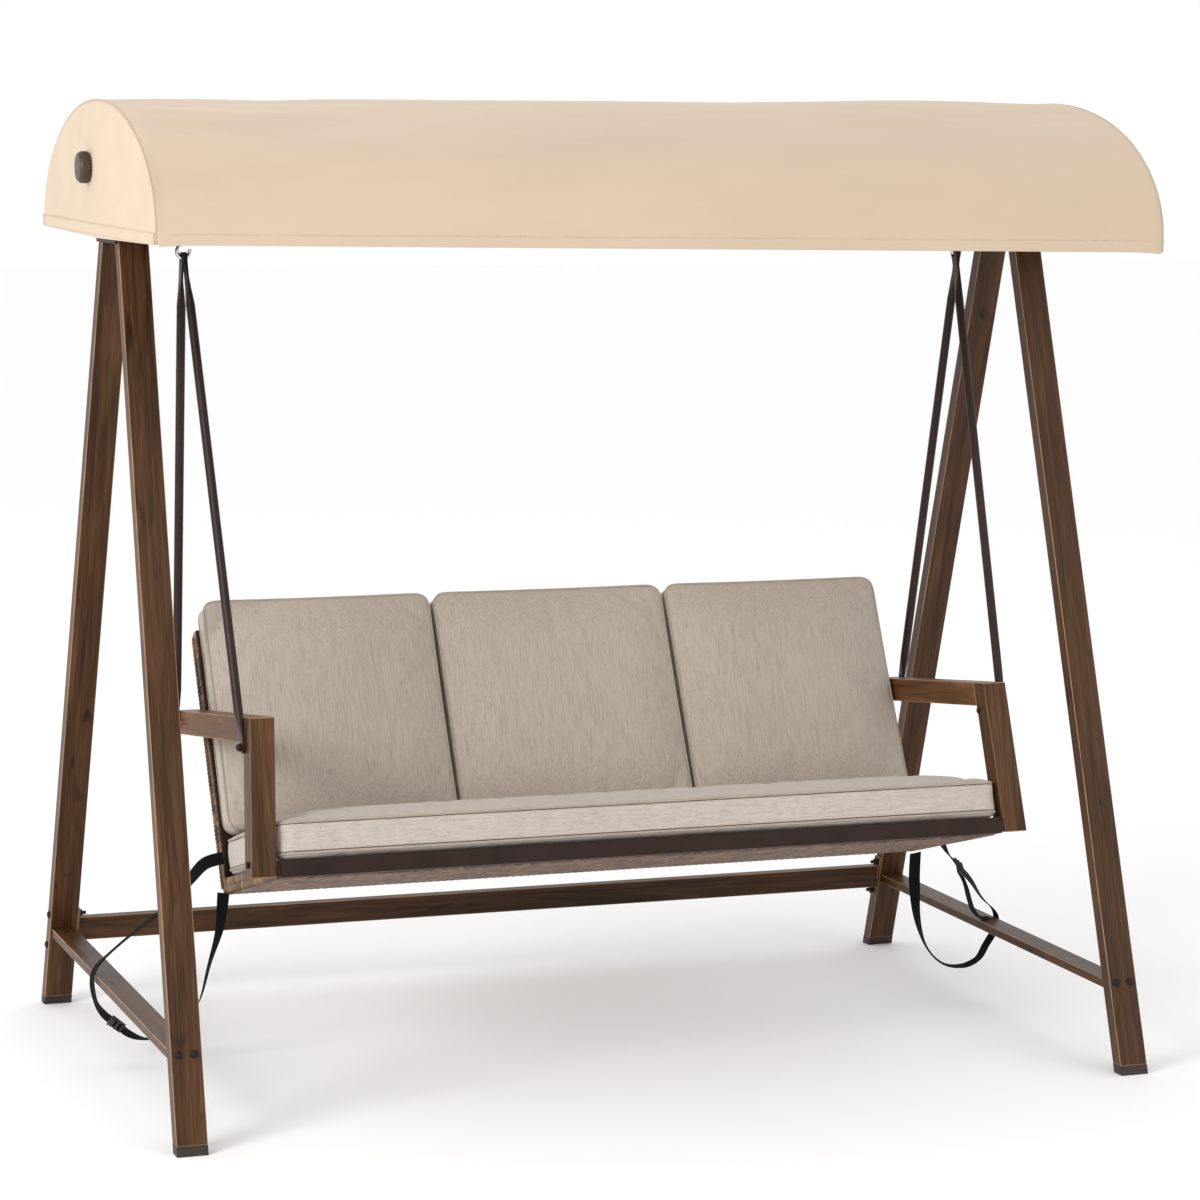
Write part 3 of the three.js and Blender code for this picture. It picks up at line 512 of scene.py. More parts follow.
def paint_frame(looks):
    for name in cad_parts:
        if name.startswith("leg_"):
            paint_node(name, looks["wood_" + name[4:]])
        else:
            paint_node(name, looks[next(look for pattern, look in PAINT if re.search(pattern, name))])
    for name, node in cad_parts.items():
        if name.startswith(("leg_", "side_rail", "arm", "rear_crossbar", "top_beam")):
            # the wooden parts get a light brown bevel: painted highlight along their edges
            edge = soften(node, HIGHLIGHT_BEVEL)
            edge.use_clamp_overlap = False
            node.data.materials.append(looks["edge_highlight"])
            edge.material = len(node.data.materials) - 1
        elif "knob" in name or "bolt" in name or "foot_cap" in name or name.startswith("swing_hook"):
            soften(node, KNOB_EDGE if "knob" in name else SMALL_EDGE)


def soften(node, width):
    """Rounded edges on a CAD node, whose faces come in unjoined."""
    modifier(node, "weld", "WELD", merge_threshold=0.01 * MM)
    return round_edges(node, width, 3)


# ---- cushions
def cushion_outline(half_x, half_y, corner):
    """Closed outline of a rectangle with round corners, its sides drawn in a little between them."""
    points = []
    turns = 12
    for quarter, (side_x, side_y) in enumerate(((1, 1), (-1, 1), (-1, -1), (1, -1))):
        for step in range(turns + 1):
            turn = math.pi / 2 * (quarter + step / turns)
            points.append(((half_x - corner) * side_x + corner * math.cos(turn),
                           (half_y - corner) * side_y + corner * math.sin(turn)))
    drawn = []
    for x, y in even(points, 4 * MM):
        pull_x = CUSHION_BOW * (1 - (y / half_y) ** 2)
        pull_y = CUSHION_BOW * (1 - (x / half_x) ** 2)
        near_x = abs(x) / half_x
        near_y = abs(y) / half_y
        drawn.append((x - math.copysign(pull_x * near_x ** 8, x),
                      y - math.copysign(pull_y * near_y ** 8, y)))
    return drawn


def even(points, spacing):
    """The closed outline resampled at equal steps."""
    lengths = [math.dist(points[i], points[(i + 1) % len(points)]) for i in range(len(points))]
    total = sum(lengths)
    count = max(16, round(total / spacing))
    out, i, walked = [], 0, 0.0
    for k in range(count):
        goal = total * k / count
        while walked + lengths[i] < goal:
            walked += lengths[i]
            i += 1
        t = (goal - walked) / lengths[i]
        a, b = points[i], points[(i + 1) % len(points)]
        out.append((a[0] + (b[0] - a[0]) * t, a[1] + (b[1] - a[1]) * t))
    return out


def drawn_in(outline, inset):
    """The outline moved inward by a distance."""
    out = []
    count = len(outline)
    for i, (x, y) in enumerate(outline):
        ahead, behind = outline[(i + 1) % count], outline[i - 1]
        run = math.dist(ahead, behind)
        out.append((x - (ahead[1] - behind[1]) / run * inset, y + (ahead[0] - behind[0]) / run * inset))
    return out


CUSHION_ROUND = 14 * MM  # width of the rounding between border and face
CUSHION_VOXEL = 7 * MM
CUSHION_BOW = 2 * MM  # how far the middle of a side is drawn in
CUSHION_PRESSURE = 4
PIPING = 2.7 * MM  # radius
SHADOW_LINE = 1.2 * MM  # radius of the dark cord beside the piping, a painted shadow line
# how far the painted shadow line lies from the piping
SHADOW_LINE_GAP = 3.4 * MM


def cushion_form(outline, low, high, floor, crown):
    """Closed boxed form: an upright border, a crowned top and a bottom that rounds off to the floor."""
    loops = []
    core = drawn_in(outline, CUSHION_ROUND)
    for scale in (0.05, 0.35, 0.65, 0.9):
        loops.append([(x * scale, y * scale, floor) for x, y in core])
    for turn in (0.0, 0.3, 0.6, 0.85):
        angle = math.pi / 2 * turn
        inset = CUSHION_ROUND * (1 - math.sin(angle))
        height = low - (low - floor) * math.cos(angle)
        loops.append([(x, y, height) for x, y in drawn_in(outline, inset)])
    loops += [[(x, y, low + (high - low) * t) for x, y in outline] for t in (0.0, 0.5, 1.0)]
    for inset, rise in ((5 * MM, 0.35), (CUSHION_ROUND, 0.6)):
        loops.append([(x, y, high + crown * rise) for x, y in drawn_in(outline, inset)])
    for scale in (0.8, 0.5, 0.2, 0.04):
        loops.append([(x * scale, y * scale, high + crown * (1 + 0.5 * (1 - scale))) for x, y in core])
    return lofted(loops)


def swell(piece, seams, cap):
    modifier(piece, "remesh", "REMESH", mode="VOXEL", voxel_size=CUSHION_VOXEL)
    bake_modifiers(piece)
    start = [v.co.copy() for v in piece.data.vertices]
    group = piece.vertex_groups.new(name="seam")
    for vertex in piece.data.vertices:
        if seams.find(vertex.co)[2] < CUSHION_VOXEL * 0.9:
            group.add([vertex.index], 1.0, "REPLACE")
    cloth = piece.modifiers.new("cloth", "CLOTH")
    set_all(cloth.settings, {
        "quality": 5, "mass": 0.3, "tension_stiffness": 12, "compression_stiffness": 12,
        "bending_stiffness": 0.8, "shrink_min": -0.015, "use_pressure": True,
        "uniform_pressure_force": CUSHION_PRESSURE, "vertex_group_mass": "seam"})
    cloth.settings.effector_weights.gravity = 0
    for number in range(1, 21):
        SCENE.frame_set(number)
    bake_modifiers(piece)
    SCENE.frame_set(1)
    for vertex, home in zip(piece.data.vertices, start):
        shift = vertex.co - home
        if shift.length > cap:
            vertex.co = home + shift * (cap / shift.length)


def bake_modifiers(piece):
    graph = bpy.context.evaluated_depsgraph_get()
    mesh = bpy.data.meshes.new_from_object(piece.evaluated_get(graph))
    piece.modifiers.clear()
    piece.data = mesh
    piece.vertex_groups.clear()


def nearest_of(points):
    tree = KDTree(len(points))
    for i, point in enumerate(points):
        tree.insert(point, i)
    tree.balance()
    return tree


def on_skin(skin, loop, lift):
    """A closed loop laid on the surface nearest to it, lifted off it, then evened out."""
    laid = []
    for point in loop:
        place, normal, _, _ = skin.find_nearest(point)
        laid.append(place + normal * lift)
    for _ in range(2):
        laid = [(laid[i - 1] + laid[i] * 2 + laid[(i + 1) % len(laid)]) / 4 for i in range(len(laid))]
    return laid


def make_cushion(name, node, tilt, up, looks, cloth, crown, corner, cap, boxing):
    """A boxed cushion with piping round both faces and a dark cord beside each piping, a painted shadow line.
    up is the axis that its top face looks along.
    """
    low, high = tilt.box(node)
    centre = (low + high) / 2
    size = high - low
    if up == "z":
        axes = ((1, 0, 0), (0, 1, 0), (0, 0, 1))
        half_x, half_y, depth = size.x / 2, size.y / 2, size.z
    else:
        axes = ((1, 0, 0), (0, 0, 1), (0, -1, 0))
        half_x, half_y, depth = size.x / 2, size.z / 2, size.y
    to_tilted = Matrix(axes).transposed()
    turn = (tilt.turn @ to_tilted).to_4x4()
    place = Matrix.Translation(tilt.world(centre)) @ turn
    outline = even(cushion_outline(half_x - 2 * MM, half_y - 2 * MM, corner), 6 * MM)
    base = -depth / 2
    lower, upper = base + boxing[0], base + boxing[1]
    floor = base + 0.3 * MM
    piece = mesh_object(name, *cushion_form(outline, lower, upper, floor, crown), looks[cloth], True)
    loops = [[Vector((x, y, height)) for x, y in outline] for height in (lower, upper)]
    swell(piece, nearest_of(loops[0] + loops[1]), cap)
    for vertex in piece.data.vertices:
        vertex.co.z = max(vertex.co.z, floor)
    modifier(piece, "smooth", "SMOOTH", factor=0.5, iterations=3)
    modifier(piece, "fine", "SUBSURF", levels=1, render_levels=1)
    bake_modifiers(piece)
    for vertex in piece.data.vertices:
        vertex.co.z = max(vertex.co.z, floor)
    piece.data.materials.clear()
    piece.data.materials.append(looks[cloth])
    piece.data.shade_smooth()
    piece.data.transform(place)
    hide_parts(node)
    attach(piece, "swing_seat")
    skin = BVHTree.FromPolygons([v.co for v in piece.data.vertices],
                                [p.vertices for p in piece.data.polygons])
    # beside each piping cord runs a thin dark cord: a painted shadow line along the piping
    for label, loop, inward in (("lower", loops[0], SHADOW_LINE_GAP), ("upper", loops[1], -SHADOW_LINE_GAP)):
        for part, shift, lift, section, look in (
                ("piping", 0, 0.8 * MM, circle(PIPING, 8), "cord_cloth"),
                ("seam", inward, 0.3 * MM, circle(SHADOW_LINE, 6), "seam_shadow_line")):
            path = on_skin(skin, [place @ (p + Vector((0, 0, shift))) for p in loop], lift)
            cord = mesh_object(f"{name}_{part}_{label}", *swept(path, section, True), looks[look], True)
            attach(cord, "swing_seat")


def make_cushions(looks):
    make_cushion("seat_cushion_cover", "seat_cushion", DECK, "z", looks, "seat_cloth",
                 crown=12 * MM, corner=24 * MM, cap=18 * MM, boxing=(12 * MM, 72 * MM))
    for where in ("left", "middle", "right"):
        node = f"back_cushion_{where}"
        make_cushion(f"{node}_cover", node, BACK, "y", looks, "back_cloth",
                     crown=9 * MM, corner=26 * MM, cap=16 * MM, boxing=(3 * MM, 50 * MM))


# ---- straps
# each stop on a route is a place in millimetres and the direction of the webbing's width there
STRAP_LEFT = [
    (-764, -26, 351, 1, 0, 0), (-772, -30, 288, 0.8, 0.5, 0), (-791, -20, 213, 0.55, 0.85, 0),
    (-808, 0, 131, 0.4, 0.9, 0.1), (-839, 25, 76, 0.15, 0.98, -0.1), (-871, 45, 54, 0.08, 0.95, -0.3),
    (-906, 55, 49, 0.03, 0.9, -0.4), (-937, 65, 59, -0.2, 0.75, -0.6), (-961, 75, 79, -0.2, 0.75, -0.6),
    (-985, 85, 99, -0.2, 0.75, -0.6), (-999, 95, 123, -0.1, 0.93, -0.3), (-1005, 100, 159, -0.15, 0.96, -0.1),
    (-1001, 100, 185, 0.1, 0.96, 0.3), (-980, 80, 219, 0.4, 0.9, 0.2), (-939, 55, 263, 0.4, 0.9, 0.15),
    (-888, 25, 312, 0.35, 0.9, 0.25), (-861, -5, 352, -0.1, 0.8, 0.6), (-832, -30, 393, -0.3, 0.75, 0.6),
    (-805, -40, 424, -0.3, 0.5, 0.8), (-768, -42, 434, 0, 0, 1),
]
STRAP_RIGHT = [
    (768, -134, 396, 0, 1, -0.3), (800, -103, 362, 0.2, 1, 0), (852, -57, 320, 0.5, 0.8, 0),
    (904, -11, 278, 0.5, 0.8, 0), (958, 42, 228, 0.4, 0.9, 0), (996, 60, 194, 0.1, 1, 0),
    (1003, 58, 174, 0, 1, 0), (1001, 53, 158, 0, 1, 0), (988, 44, 144, 0, 1, 0),
    (962, 25, 124, 0, 1, 0), (935, 10, 99, 0, 1, 0), (905, 25, 82, 0, 1, 0),
    (872, 52, 84, 0.3, 1, 0), (842, 68, 118, 0.5, 1, 0), (808, 48, 190, 0.8, 0.6, 0),
    (780, 10, 280, 1, 0, 0), (764, -24, 350, 1, 0, 0),
]
STRAP_TAIL = [
    (846, -60, 318, 0.5, 0.8, 0), (872, -34, 290, 0.5, 0.8, 0), (896, -10, 254, 0.6, 0.7, 0),
    (914, 6, 222, 0.6, 0.7, 0), (934, 22, 200, 0.5, 0.8, 0), (956, 34, 184, 0.3, 0.9, 0),
    (978, 40, 181, 0.2, 1, 0),
]
STRAP_WIDTH = 25 * MM
STRAP_THICK = 1.8 * MM
STRAP_STEPS = 10  # points between two stops


def ribbon(name, route, looks):
    """Flat webbing with thick selvedges, along a route of places and width directions."""
    stops = [Vector([c * MM for c in stop[:3]]) for stop in route]
    stops[0] += (stops[0] - stops[1]).normalized() * 8 * MM
    path = smooth_path(stops, STRAP_STEPS)
    side = smooth_path([Vector(stop[3:]) for stop in route], STRAP_STEPS)
    half, edge = STRAP_WIDTH / 2, STRAP_THICK / 2
    section = [(-half, -edge * 0.8), (-half + 1.5 * MM, -edge), (-half + 3 * MM, -edge * 0.6),
               (half - 3 * MM, -edge * 0.6), (half - 1.5 * MM, -edge), (half, -edge * 0.8)]
    section += [(x, -y) for x, y in reversed(section)]
    return mesh_object(name, *swept(path, section, side=side), looks["webbing"], True), path, side


def frame_at(path, side, index):
    run = (path[index + 1] - path[index - 1]).normalized()
    across = (side[index] - run * side[index].dot(run)).normalized()
    return Matrix((run, across, run.cross(across))).transposed().to_4x4()


def cross_strap(piece):
    """Bake the piece's placement into its mesh."""
    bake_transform(piece)


def buckle_piece(name, place, looks):
    """Ladder-lock buckle: a rounded frame with three cross bars and finger ridges."""
    pieces = []
    length, width, bar = 32 * MM, 35 * MM, 4.2 * MM
    reach = width / 2 - bar / 2
    rails = [((-length / 2, y, 0), (length / 2, y, 0)) for y in (-reach, reach)]
    bars = ((-length / 2 + 2 * MM, 0), (-2 * MM, 2.5 * MM), (length / 2 - 2 * MM, 3.5 * MM))
    cross = [((x, -reach, z), (x, reach, z)) for x, z in bars]
    for start, end in rails + cross:
        path = smooth_path([Vector(start), (Vector(start) + Vector(end)) / 2, Vector(end)], 4)
        pieces.append(swept(path, [(a * bar / 2, b * bar / 2) for a, b in SOFT_SQUARE]))
    for step in range(4):
        x = length / 2 - (3 + 2.2 * step) * MM
        path = [Vector((x, -width / 2 + bar, 5.5 * MM)), Vector((x, width / 2 - bar, 5.5 * MM))]
        pieces.append(swept(path, circle(0.9 * MM, 6)))
    tab = [Vector((length / 2 - 11 * MM, 0, 4 * MM)), Vector((length / 2, 0, 4.6 * MM))]
    pieces.append(swept(tab, [(a * (width / 2 - bar), b * 1.2 * MM) for a, b in SOFT_SQUARE],
                        side=[Vector((0, 1, 0))] * 2))
    verts, faces = joined(pieces)
    piece = mesh_object(name, [place @ v for v in verts], faces, looks["plastic"])
    round_edges(piece, 0.8 * MM, 2)
    return piece


def make_straps(looks):
    for hand, side, route, stop, length in (("left", -1, STRAP_LEFT, 8, 0.95),
                                            ("right", 1, STRAP_RIGHT, 2, 0.90)):
        strap, path, ways = ribbon(f"strap_webbing_{hand}", route, looks)
        index = stop * STRAP_STEPS
        place = Matrix.Translation(path[index]) @ frame_at(path, ways, index)
        buckle = buckle_piece(f"strap_slider_{hand}", place, looks)
        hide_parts(f"strap_{hand}")
        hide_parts(f"strap_buckle_{hand}")
        cross_strap(strap)
        cross_strap(buckle)
    tail, path, _ = ribbon("strap_tail_right", STRAP_TAIL, looks)
    cross_strap(tail)


# ---- canopy
CANOPY_RISE = 0.250
FRONT_HEM = 25 * MM  # below the springing of the arch, at the middle
HEM_TILT = 12 * MM  # the front hem is lower at the right and higher at the left by this
REAR_HEM = 3 * MM
CREASES = ((0.56, -0.08), (0.50, -0.15), (0.42, -0.17), (0.33, -0.10))  # start above the hem, slope
CREASE_DEPTH = 5.5 * MM
CANOPY_EDGE = 9 * MM  # rounding where the roof meets an end panel
HEM_DEPTH = 22 * MM
CLOTH = 1.6 * MM
KNOB_AXIS = (0.0, 1.8)  # y and z of the canopy's tilt axis


def canopy_profile(low, high):
    """Roof outline as (distance from the front hem, y, z), from front hem to rear hem."""
    middle, half = (low.y + high.y) / 2, (high.y - low.y) / 2
    spring = high.z - CANOPY_RISE
    dense = [(low.y, spring - FRONT_HEM * (1 - i / 8)) for i in range(8)]
    for i in range(241):
        turn = math.pi * i / 240
        dense.append((middle - half * math.cos(turn), spring + CANOPY_RISE * math.sin(turn)))
    dense.append((high.y, spring - REAR_HEM))
    walked = [0.0]
    for a, b in zip(dense, dense[1:]):
        walked.append(walked[-1] + math.dist(a, b))
    total = walked[-1]
    rows = 92
    hem = [0, 1.5 * MM, 8 * MM, 15 * MM, HEM_DEPTH - 1 * MM, HEM_DEPTH]
    free = total - 2 * HEM_DEPTH - 6 * MM
    goals = hem + [HEM_DEPTH + 3 * MM + free * i / rows for i in range(rows + 1)]
    goals += [total - h for h in reversed(hem)]
    out, i = [], 0
    for goal in goals:
        while i < len(dense) - 2 and walked[i + 1] < goal:
            i += 1
        t = (goal - walked[i]) / (walked[i + 1] - walked[i])
        a, b = dense[i], dense[i + 1]
        out.append((goal, a[0] + (b[0] - a[0]) * t, a[1] + (b[1] - a[1]) * t))
    return out, total


def canopy_columns(half_width):
    """Stations from the middle of the left end panel to that of the right one: x, inset and scale."""
    panel, edge, roof = 26, 4, 100
    flat = half_width - CANOPY_EDGE
    side = [(-half_width, CANOPY_EDGE, i / panel) for i in range(panel)]
    for i in range(edge):
        turn = math.pi / 2 * i / edge
        side.append((-flat - CANOPY_EDGE * math.cos(turn), CANOPY_EDGE * (1 - math.sin(turn)), 1.0))
    middle = [(-flat + 2 * flat * i / roof, 0.0, 1.0) for i in range(roof + 1)]
    return side + middle + [(-x, inset, scale) for x, inset, scale in reversed(side)]


def fold_depth(x, s, total, half_width):
    """How far the roof cloth stands out: sag between the rods, soft folds from the ends, and creases."""
    u, v = x / half_width, s / total
    sag = -8 * MM * (1 - u ** 4) * math.sin(2 * math.pi * v) ** 2
    slant = noise.noise(Vector((abs(x) * 1.6, s * 10 + abs(x) * 3.4, 3.1 if x < 0 else 7.7)))
    ends = min(1.0, max(0.0, (abs(u) - 0.12) / 0.55)) * (1 - abs(u) ** 24)
    ripple = noise.noise(Vector((x * 2.1, s * 4.5, 11.3)))
    fine = noise.noise(Vector((x * 9, s * 34, 5.9)))
    folds = slant * 6.5 * ends * math.sin(math.pi * v) + ripple * 2.5 + fine * 0.5
    return sag + creases(x, s, half_width) + folds * MM


def creases(x, s, half_width):
    """Shallow creases that run from the upper left end down into the roof and fade out."""
    run = x + half_width
    fade = min(1.0, run / 0.08) * math.exp(-run / 0.6)
    depth = 0.0
    for start, slope in CREASES:
        depth += math.exp(-((s - start - slope * run) / (0.020 + 0.025 * run)) ** 2)
    return -CREASE_DEPTH * depth * fade


def hem_lift(u, v):
    """The cover sits a little askew on its frame: front hem up at the left, down at the right."""
    front = max(0.0, 1 - v / 0.3) ** 2
    return -HEM_TILT * u * front + 3 * MM * (1 + u) * math.sin(math.pi * v)


def make_canopy(looks):
    low, high = (Vector(corner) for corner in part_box("canopy_fabric"))
    half_width = high.x
    profile, total = canopy_profile(low, high)
    mid_y, mid_z = (low.y + high.y) / 2, high.z - CANOPY_RISE - (FRONT_HEM + REAR_HEM) / 2
    half_depth = (high.y - low.y) / 2
    verts, grid = [], []
    for x, inset, scale in canopy_columns(half_width):
        column = []
        for s, y, z in profile:
            reach = math.hypot(y - mid_y, z - mid_z)
            r = (reach - inset) * scale / reach
            point = Vector((x, mid_y + (y - mid_y) * r, mid_z + (z - mid_z) * r))
            if abs(x) < half_width - CANOPY_EDGE * 0.99:
                rise = max(z - (high.z - CANOPY_RISE), 0)
                out = Vector((0, (y - mid_y) / half_depth ** 2, rise / CANOPY_RISE ** 2)).normalized()
                hem = 0.3 * MM if min(s, total - s) < HEM_DEPTH - 0.5 * MM else 0
                point += out * (fold_depth(x, s, total, half_width) + hem)
                corner = max(0.0, (abs(x) / half_width - 0.93) / 0.07)
                point.z -= 4 * MM * corner ** 2 * max(0.0, 1 - s / 0.12)
            elif scale < 1:
                pillow = noise.noise(Vector((point.y * 4, point.z * 5, x)))
                point.x += pillow * 2 * MM * math.sin(math.pi * scale)
            point.z += hem_lift(x / half_width, s / total) * scale
            column.append(len(verts))
            verts.append(point)
        grid.append(column)
    faces = []
    for a, b in zip(grid, grid[1:]):
        for i in range(len(profile) - 1):
            middle = sum((verts[k] for k in (a[i], b[i], b[i + 1], a[i + 1])), Vector()) / 4
            hole = math.hypot(middle.y - KNOB_AXIS[0], middle.z - KNOB_AXIS[1]) < 15 * MM
            if not (hole and abs(middle.x) > half_width - CANOPY_EDGE):
                faces.append((a[i], b[i], b[i + 1], a[i + 1]))
    cover = mesh_object("canopy_cover", verts, faces, looks["canopy"], True)
    weld(cover)
    modifier(cover, "thickness", "SOLIDIFY", thickness=CLOTH, offset=-1)
    bake_modifiers(cover)
    cover.data.shade_smooth()
    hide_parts("canopy_fabric")
    attach(cover, "canopy")
    trims = canopy_trims(looks, verts, grid, profile, half_width, (mid_y, mid_z))


def canopy_trims(looks, verts, grid, profile, half_width, middle):
    """Hem bands, stitching, end seams and knob eyelets."""
    trims = []

    def trim(name, parts, look):
        piece = mesh_object(name, *joined(parts), look, True)
        trims.append(attach(piece, "canopy"))

    rows = len(profile)
    for label, row, lean in (("front", 4, -1), ("rear", rows - 5, 1)):
        line = [verts[column[row]] + Vector((0, lean * 0.5 * MM, 0)) for column in grid
                if abs(verts[column[row]].x) < half_width - CANOPY_EDGE]
        trim(f"canopy_stitches_{label}", stitches(line), looks["thread"])
    (_, front_y, front_z), (_, rear_y, rear_z) = profile[0], profile[-1]
    for hand, side in SIDES:
        x = side * (half_width + 0.5 * MM)
        inner = 5 * MM
        front = front_z + hem_lift(side, 0) + 11 * MM
        ends = [Vector((x, front_y + inner, front)), Vector((x, rear_y - inner, rear_z + 11 * MM))]
        path = [ends[0].lerp(ends[1], i / 30) for i in range(31)]
        band = swept(path, [(a * 11 * MM, b * 0.6 * MM) for a, b in SOFT_SQUARE],
                     side=[Vector((0, 0, 1))] * len(path))
        trim(f"canopy_hem_{hand}", [band], looks["canopy"])
        line = [p + Vector((side * 0.9 * MM, 0, 9 * MM)) for p in path]
        trim(f"canopy_stitches_{hand}", stitches(line), looks["thread"])
        total = profile[-1][0]
        seam = [Vector((side * (half_width - 3 * MM), middle[0] + (y - middle[0]) * 0.9955,
                        middle[1] + (z - middle[1]) * 0.9945 + hem_lift(side, s / total)))
                for s, y, z in profile[1:-1]]
        trim(f"canopy_seam_{hand}", [swept(seam, circle(1.9 * MM, 6))], looks["piping"])
        ring = [Vector((x, KNOB_AXIS[0] + y, KNOB_AXIS[1] + z)) for y, z in circle(20 * MM, 32)]
        section = [(a * 6 * MM, b * 1.1 * MM) for a, b in SOFT_SQUARE]
        outward = [p - Vector((x, *KNOB_AXIS)) for p in ring]
        trim(f"canopy_eyelet_{hand}", [swept(ring, section, True, outward)], looks["piping"])
    return trims


def stitches(line):
    """Short raised threads along a line."""
    length, gap, thread = 5 * MM, 3 * MM, 0.4 * MM
    parts, walked, start = [], 0.0, line[0]
    for a, b in zip(line, line[1:]):
        span = (b - a).length
        while walked < span:
            start = a.lerp(b, walked / span)
            stop = start + (b - a).normalized() * length
            parts.append(swept([start, (start + stop) / 2, stop], circle(thread, 5)))
            walked += length + gap
        walked -= span
    return parts


# ---- wicker
def woven(name, corner, across, up, tilt, looks, pitch=15 * MM):
    """Slab of round strips woven over and under, its back sunk in the panel that it covers. Each point
    carries its strip's tone and a painted shade from its height, dark where strips dip low between others.
    """
    columns = max(2, round(across.length / pitch))
    rows = max(2, round(up.length / pitch))
    fine = 4
    corner, across, up = tilt.world(corner), tilt.world(across), tilt.world(up)
    out = across.cross(up).normalized()
    round_up, wave = 1.7 * MM, 0.9 * MM
    verts, tones = [], []
    for j in range(rows * fine + 1):
        for i in range(columns * fine + 1):
            u, v = i / fine, j / fine
            column, row = min(int(u), columns - 1), min(int(v), rows - 1)
            du, dv = u - column - 0.5, v - row - 0.5
            over_row = math.cos(math.pi * (u - 0.5)) * (-1) ** row
            over_column = -math.cos(math.pi * (v - 0.5)) * (-1) ** column
            strip_row = round_up * math.sqrt(1 - (2 * dv) ** 2) + wave * over_row
            strip_column = round_up * math.sqrt(1 - (2 * du) ** 2) + wave * over_column
            height = max(strip_row, strip_column, 0.1 * MM)
            strand = row if strip_row > strip_column else column + 400
            run = u if strand < 400 else v
            tone = 0.5 + 0.36 * noise.noise(Vector((strand * 1.7, run * 0.35, 2.5)))
            # shade: painted shade from the strip's height, dark where it dips between strips
            shade = min(1.0, max(0.0, height / (round_up + wave)))
            edge = i in (0, columns * fine) or j in (0, rows * fine)
            rise = 0.3 * MM if edge else height
            verts.append(corner + across * (u / columns) + up * (v / rows) + out * rise)
            tones.append((tone, shade ** 1.5, 0.0, 1.0))
    wide = columns * fine + 1
    faces = [(j * wide + i, j * wide + i + 1, (j + 1) * wide + i + 1, (j + 1) * wide + i)
             for j in range(rows * fine) for i in range(columns * fine)]
    border = list(range(wide)) + [j * wide + wide - 1 for j in range(1, rows * fine + 1)]
    border += [rows * fine * wide + i for i in range(wide - 2, -1, -1)]
    border += [j * wide for j in range(rows * fine - 1, 0, -1)]
    base = len(verts)
    for k in border:
        verts.append(verts[k] - out * 1.2 * MM)
        # the sunk border walls take the full painted shade
        tones.append((0.3, 0.0, 0.0, 1.0))
    count = len(border)
    for k in range(count):
        after = (k + 1) % count
        faces.append((border[after], border[k], base + k, base + after))
    faces.append(tuple(range(base, base + count))[::-1])
    piece = mesh_object(name, verts, faces, looks["weave"], True)
    layer = piece.data.color_attributes.new("strand", "FLOAT_COLOR", "POINT")
    for item, tone in zip(layer.data, tones):
        item.color = tone
    return attach(piece, "swing_seat")


def braid(name, path, looks, radius=3.6 * MM, pitch=26 * MM):
    """Three resin strips twisted round each other along a path."""
    parts = []
    length = sum((b - a).length for a, b in zip(path, path[1:]))
    steps = round(length / pitch * 9)
    for strand in range(3):
        line = []
        for step in range(steps + 1):
            along = step / steps * (len(path) - 1)
            i = min(int(along), len(path) - 2)
            point = path[i].lerp(path[i + 1], along - i)
            run = (path[i + 1] - path[i]).normalized()
            one = run.cross(Vector((0, 1, 0))).normalized()
            two = run.cross(one)
            turn = 2 * math.pi * (step / 9 + strand / 3)
            line.append(point + (one * math.cos(turn) + two * math.sin(turn)) * radius)
        parts.append(swept(line, circle(2.9 * MM, 6)))
    piece = mesh_object(name, *joined(parts), looks["braid"], True)
    return attach(piece, "swing_seat")


def make_wicker(looks):
    x, y, z = Vector((1, 0, 0)), Vector((0, 1, 0)), Vector((0, 0, 1))
    low, high = BACK.box("back_panel")
    wide, deep, tall = high - low
    for name, corner, across, up in (
            ("back", (high.x, high.y, low.z), -x * wide, z * tall),
            ("back_top", (low.x, low.y, high.z), x * wide, y * deep),
            ("back_left", (low.x, high.y, low.z), -y * deep, z * tall),
            ("back_right", (high.x, low.y, low.z), y * deep, z * tall)):
        woven(f"wicker_{name}", Vector(corner), across, up, BACK, looks)
    inner = high.y - 4 * MM
    corners = [(low.x, low.z + 8 * MM), (low.x, high.z - 12 * MM), (low.x + 12 * MM, high.z),
               (high.x - 12 * MM, high.z), (high.x, high.z - 12 * MM), (high.x, low.z + 8 * MM)]
    path = []
    for (ax, az), (bx, bz) in zip(corners, corners[1:]):
        span = max(1, round(math.dist((ax, az), (bx, bz)) / 10 / MM))
        path += [BACK.world((ax + (bx - ax) * i / span, inner, az + (bz - az) * i / span))
                 for i in range(span)]
    path.append(BACK.world((corners[-1][0], inner, corners[-1][1])))
    braid("wicker_braid", path, looks)
    low, high = DECK.box("seat_panel")
    wide, deep, tall = high - low
    for name, corner, across, up in (
            ("seat", low, y * deep, x * wide),
            ("seat_front", low, x * wide, z * tall),
            ("seat_left", (low.x, high.y, low.z), -y * deep, z * tall),
            ("seat_right", (high.x, low.y, low.z), y * deep, z * tall)):
        woven(f"wicker_{name}", Vector(corner), across, up, DECK, looks)


# ---- fittings
def mirrored_bolts(looks):
    """Rear bolts of the side rails, the mirror images of the front ones."""
    for hand, _ in SIDES:
        for number in (1, 2):
            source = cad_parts[f"rail_bolt_{hand}_{number}"].data
            verts = [Vector((v.co.x, -v.co.y, v.co.z)) for v in source.vertices]
            faces = [tuple(reversed(p.vertices)) for p in source.polygons]
            piece = mesh_object(f"rail_bolt_rear_{hand}_{number}", verts, faces, looks["steel"])
            round_edges(piece, SMALL_EDGE, 2)
            attach(piece, "stand")


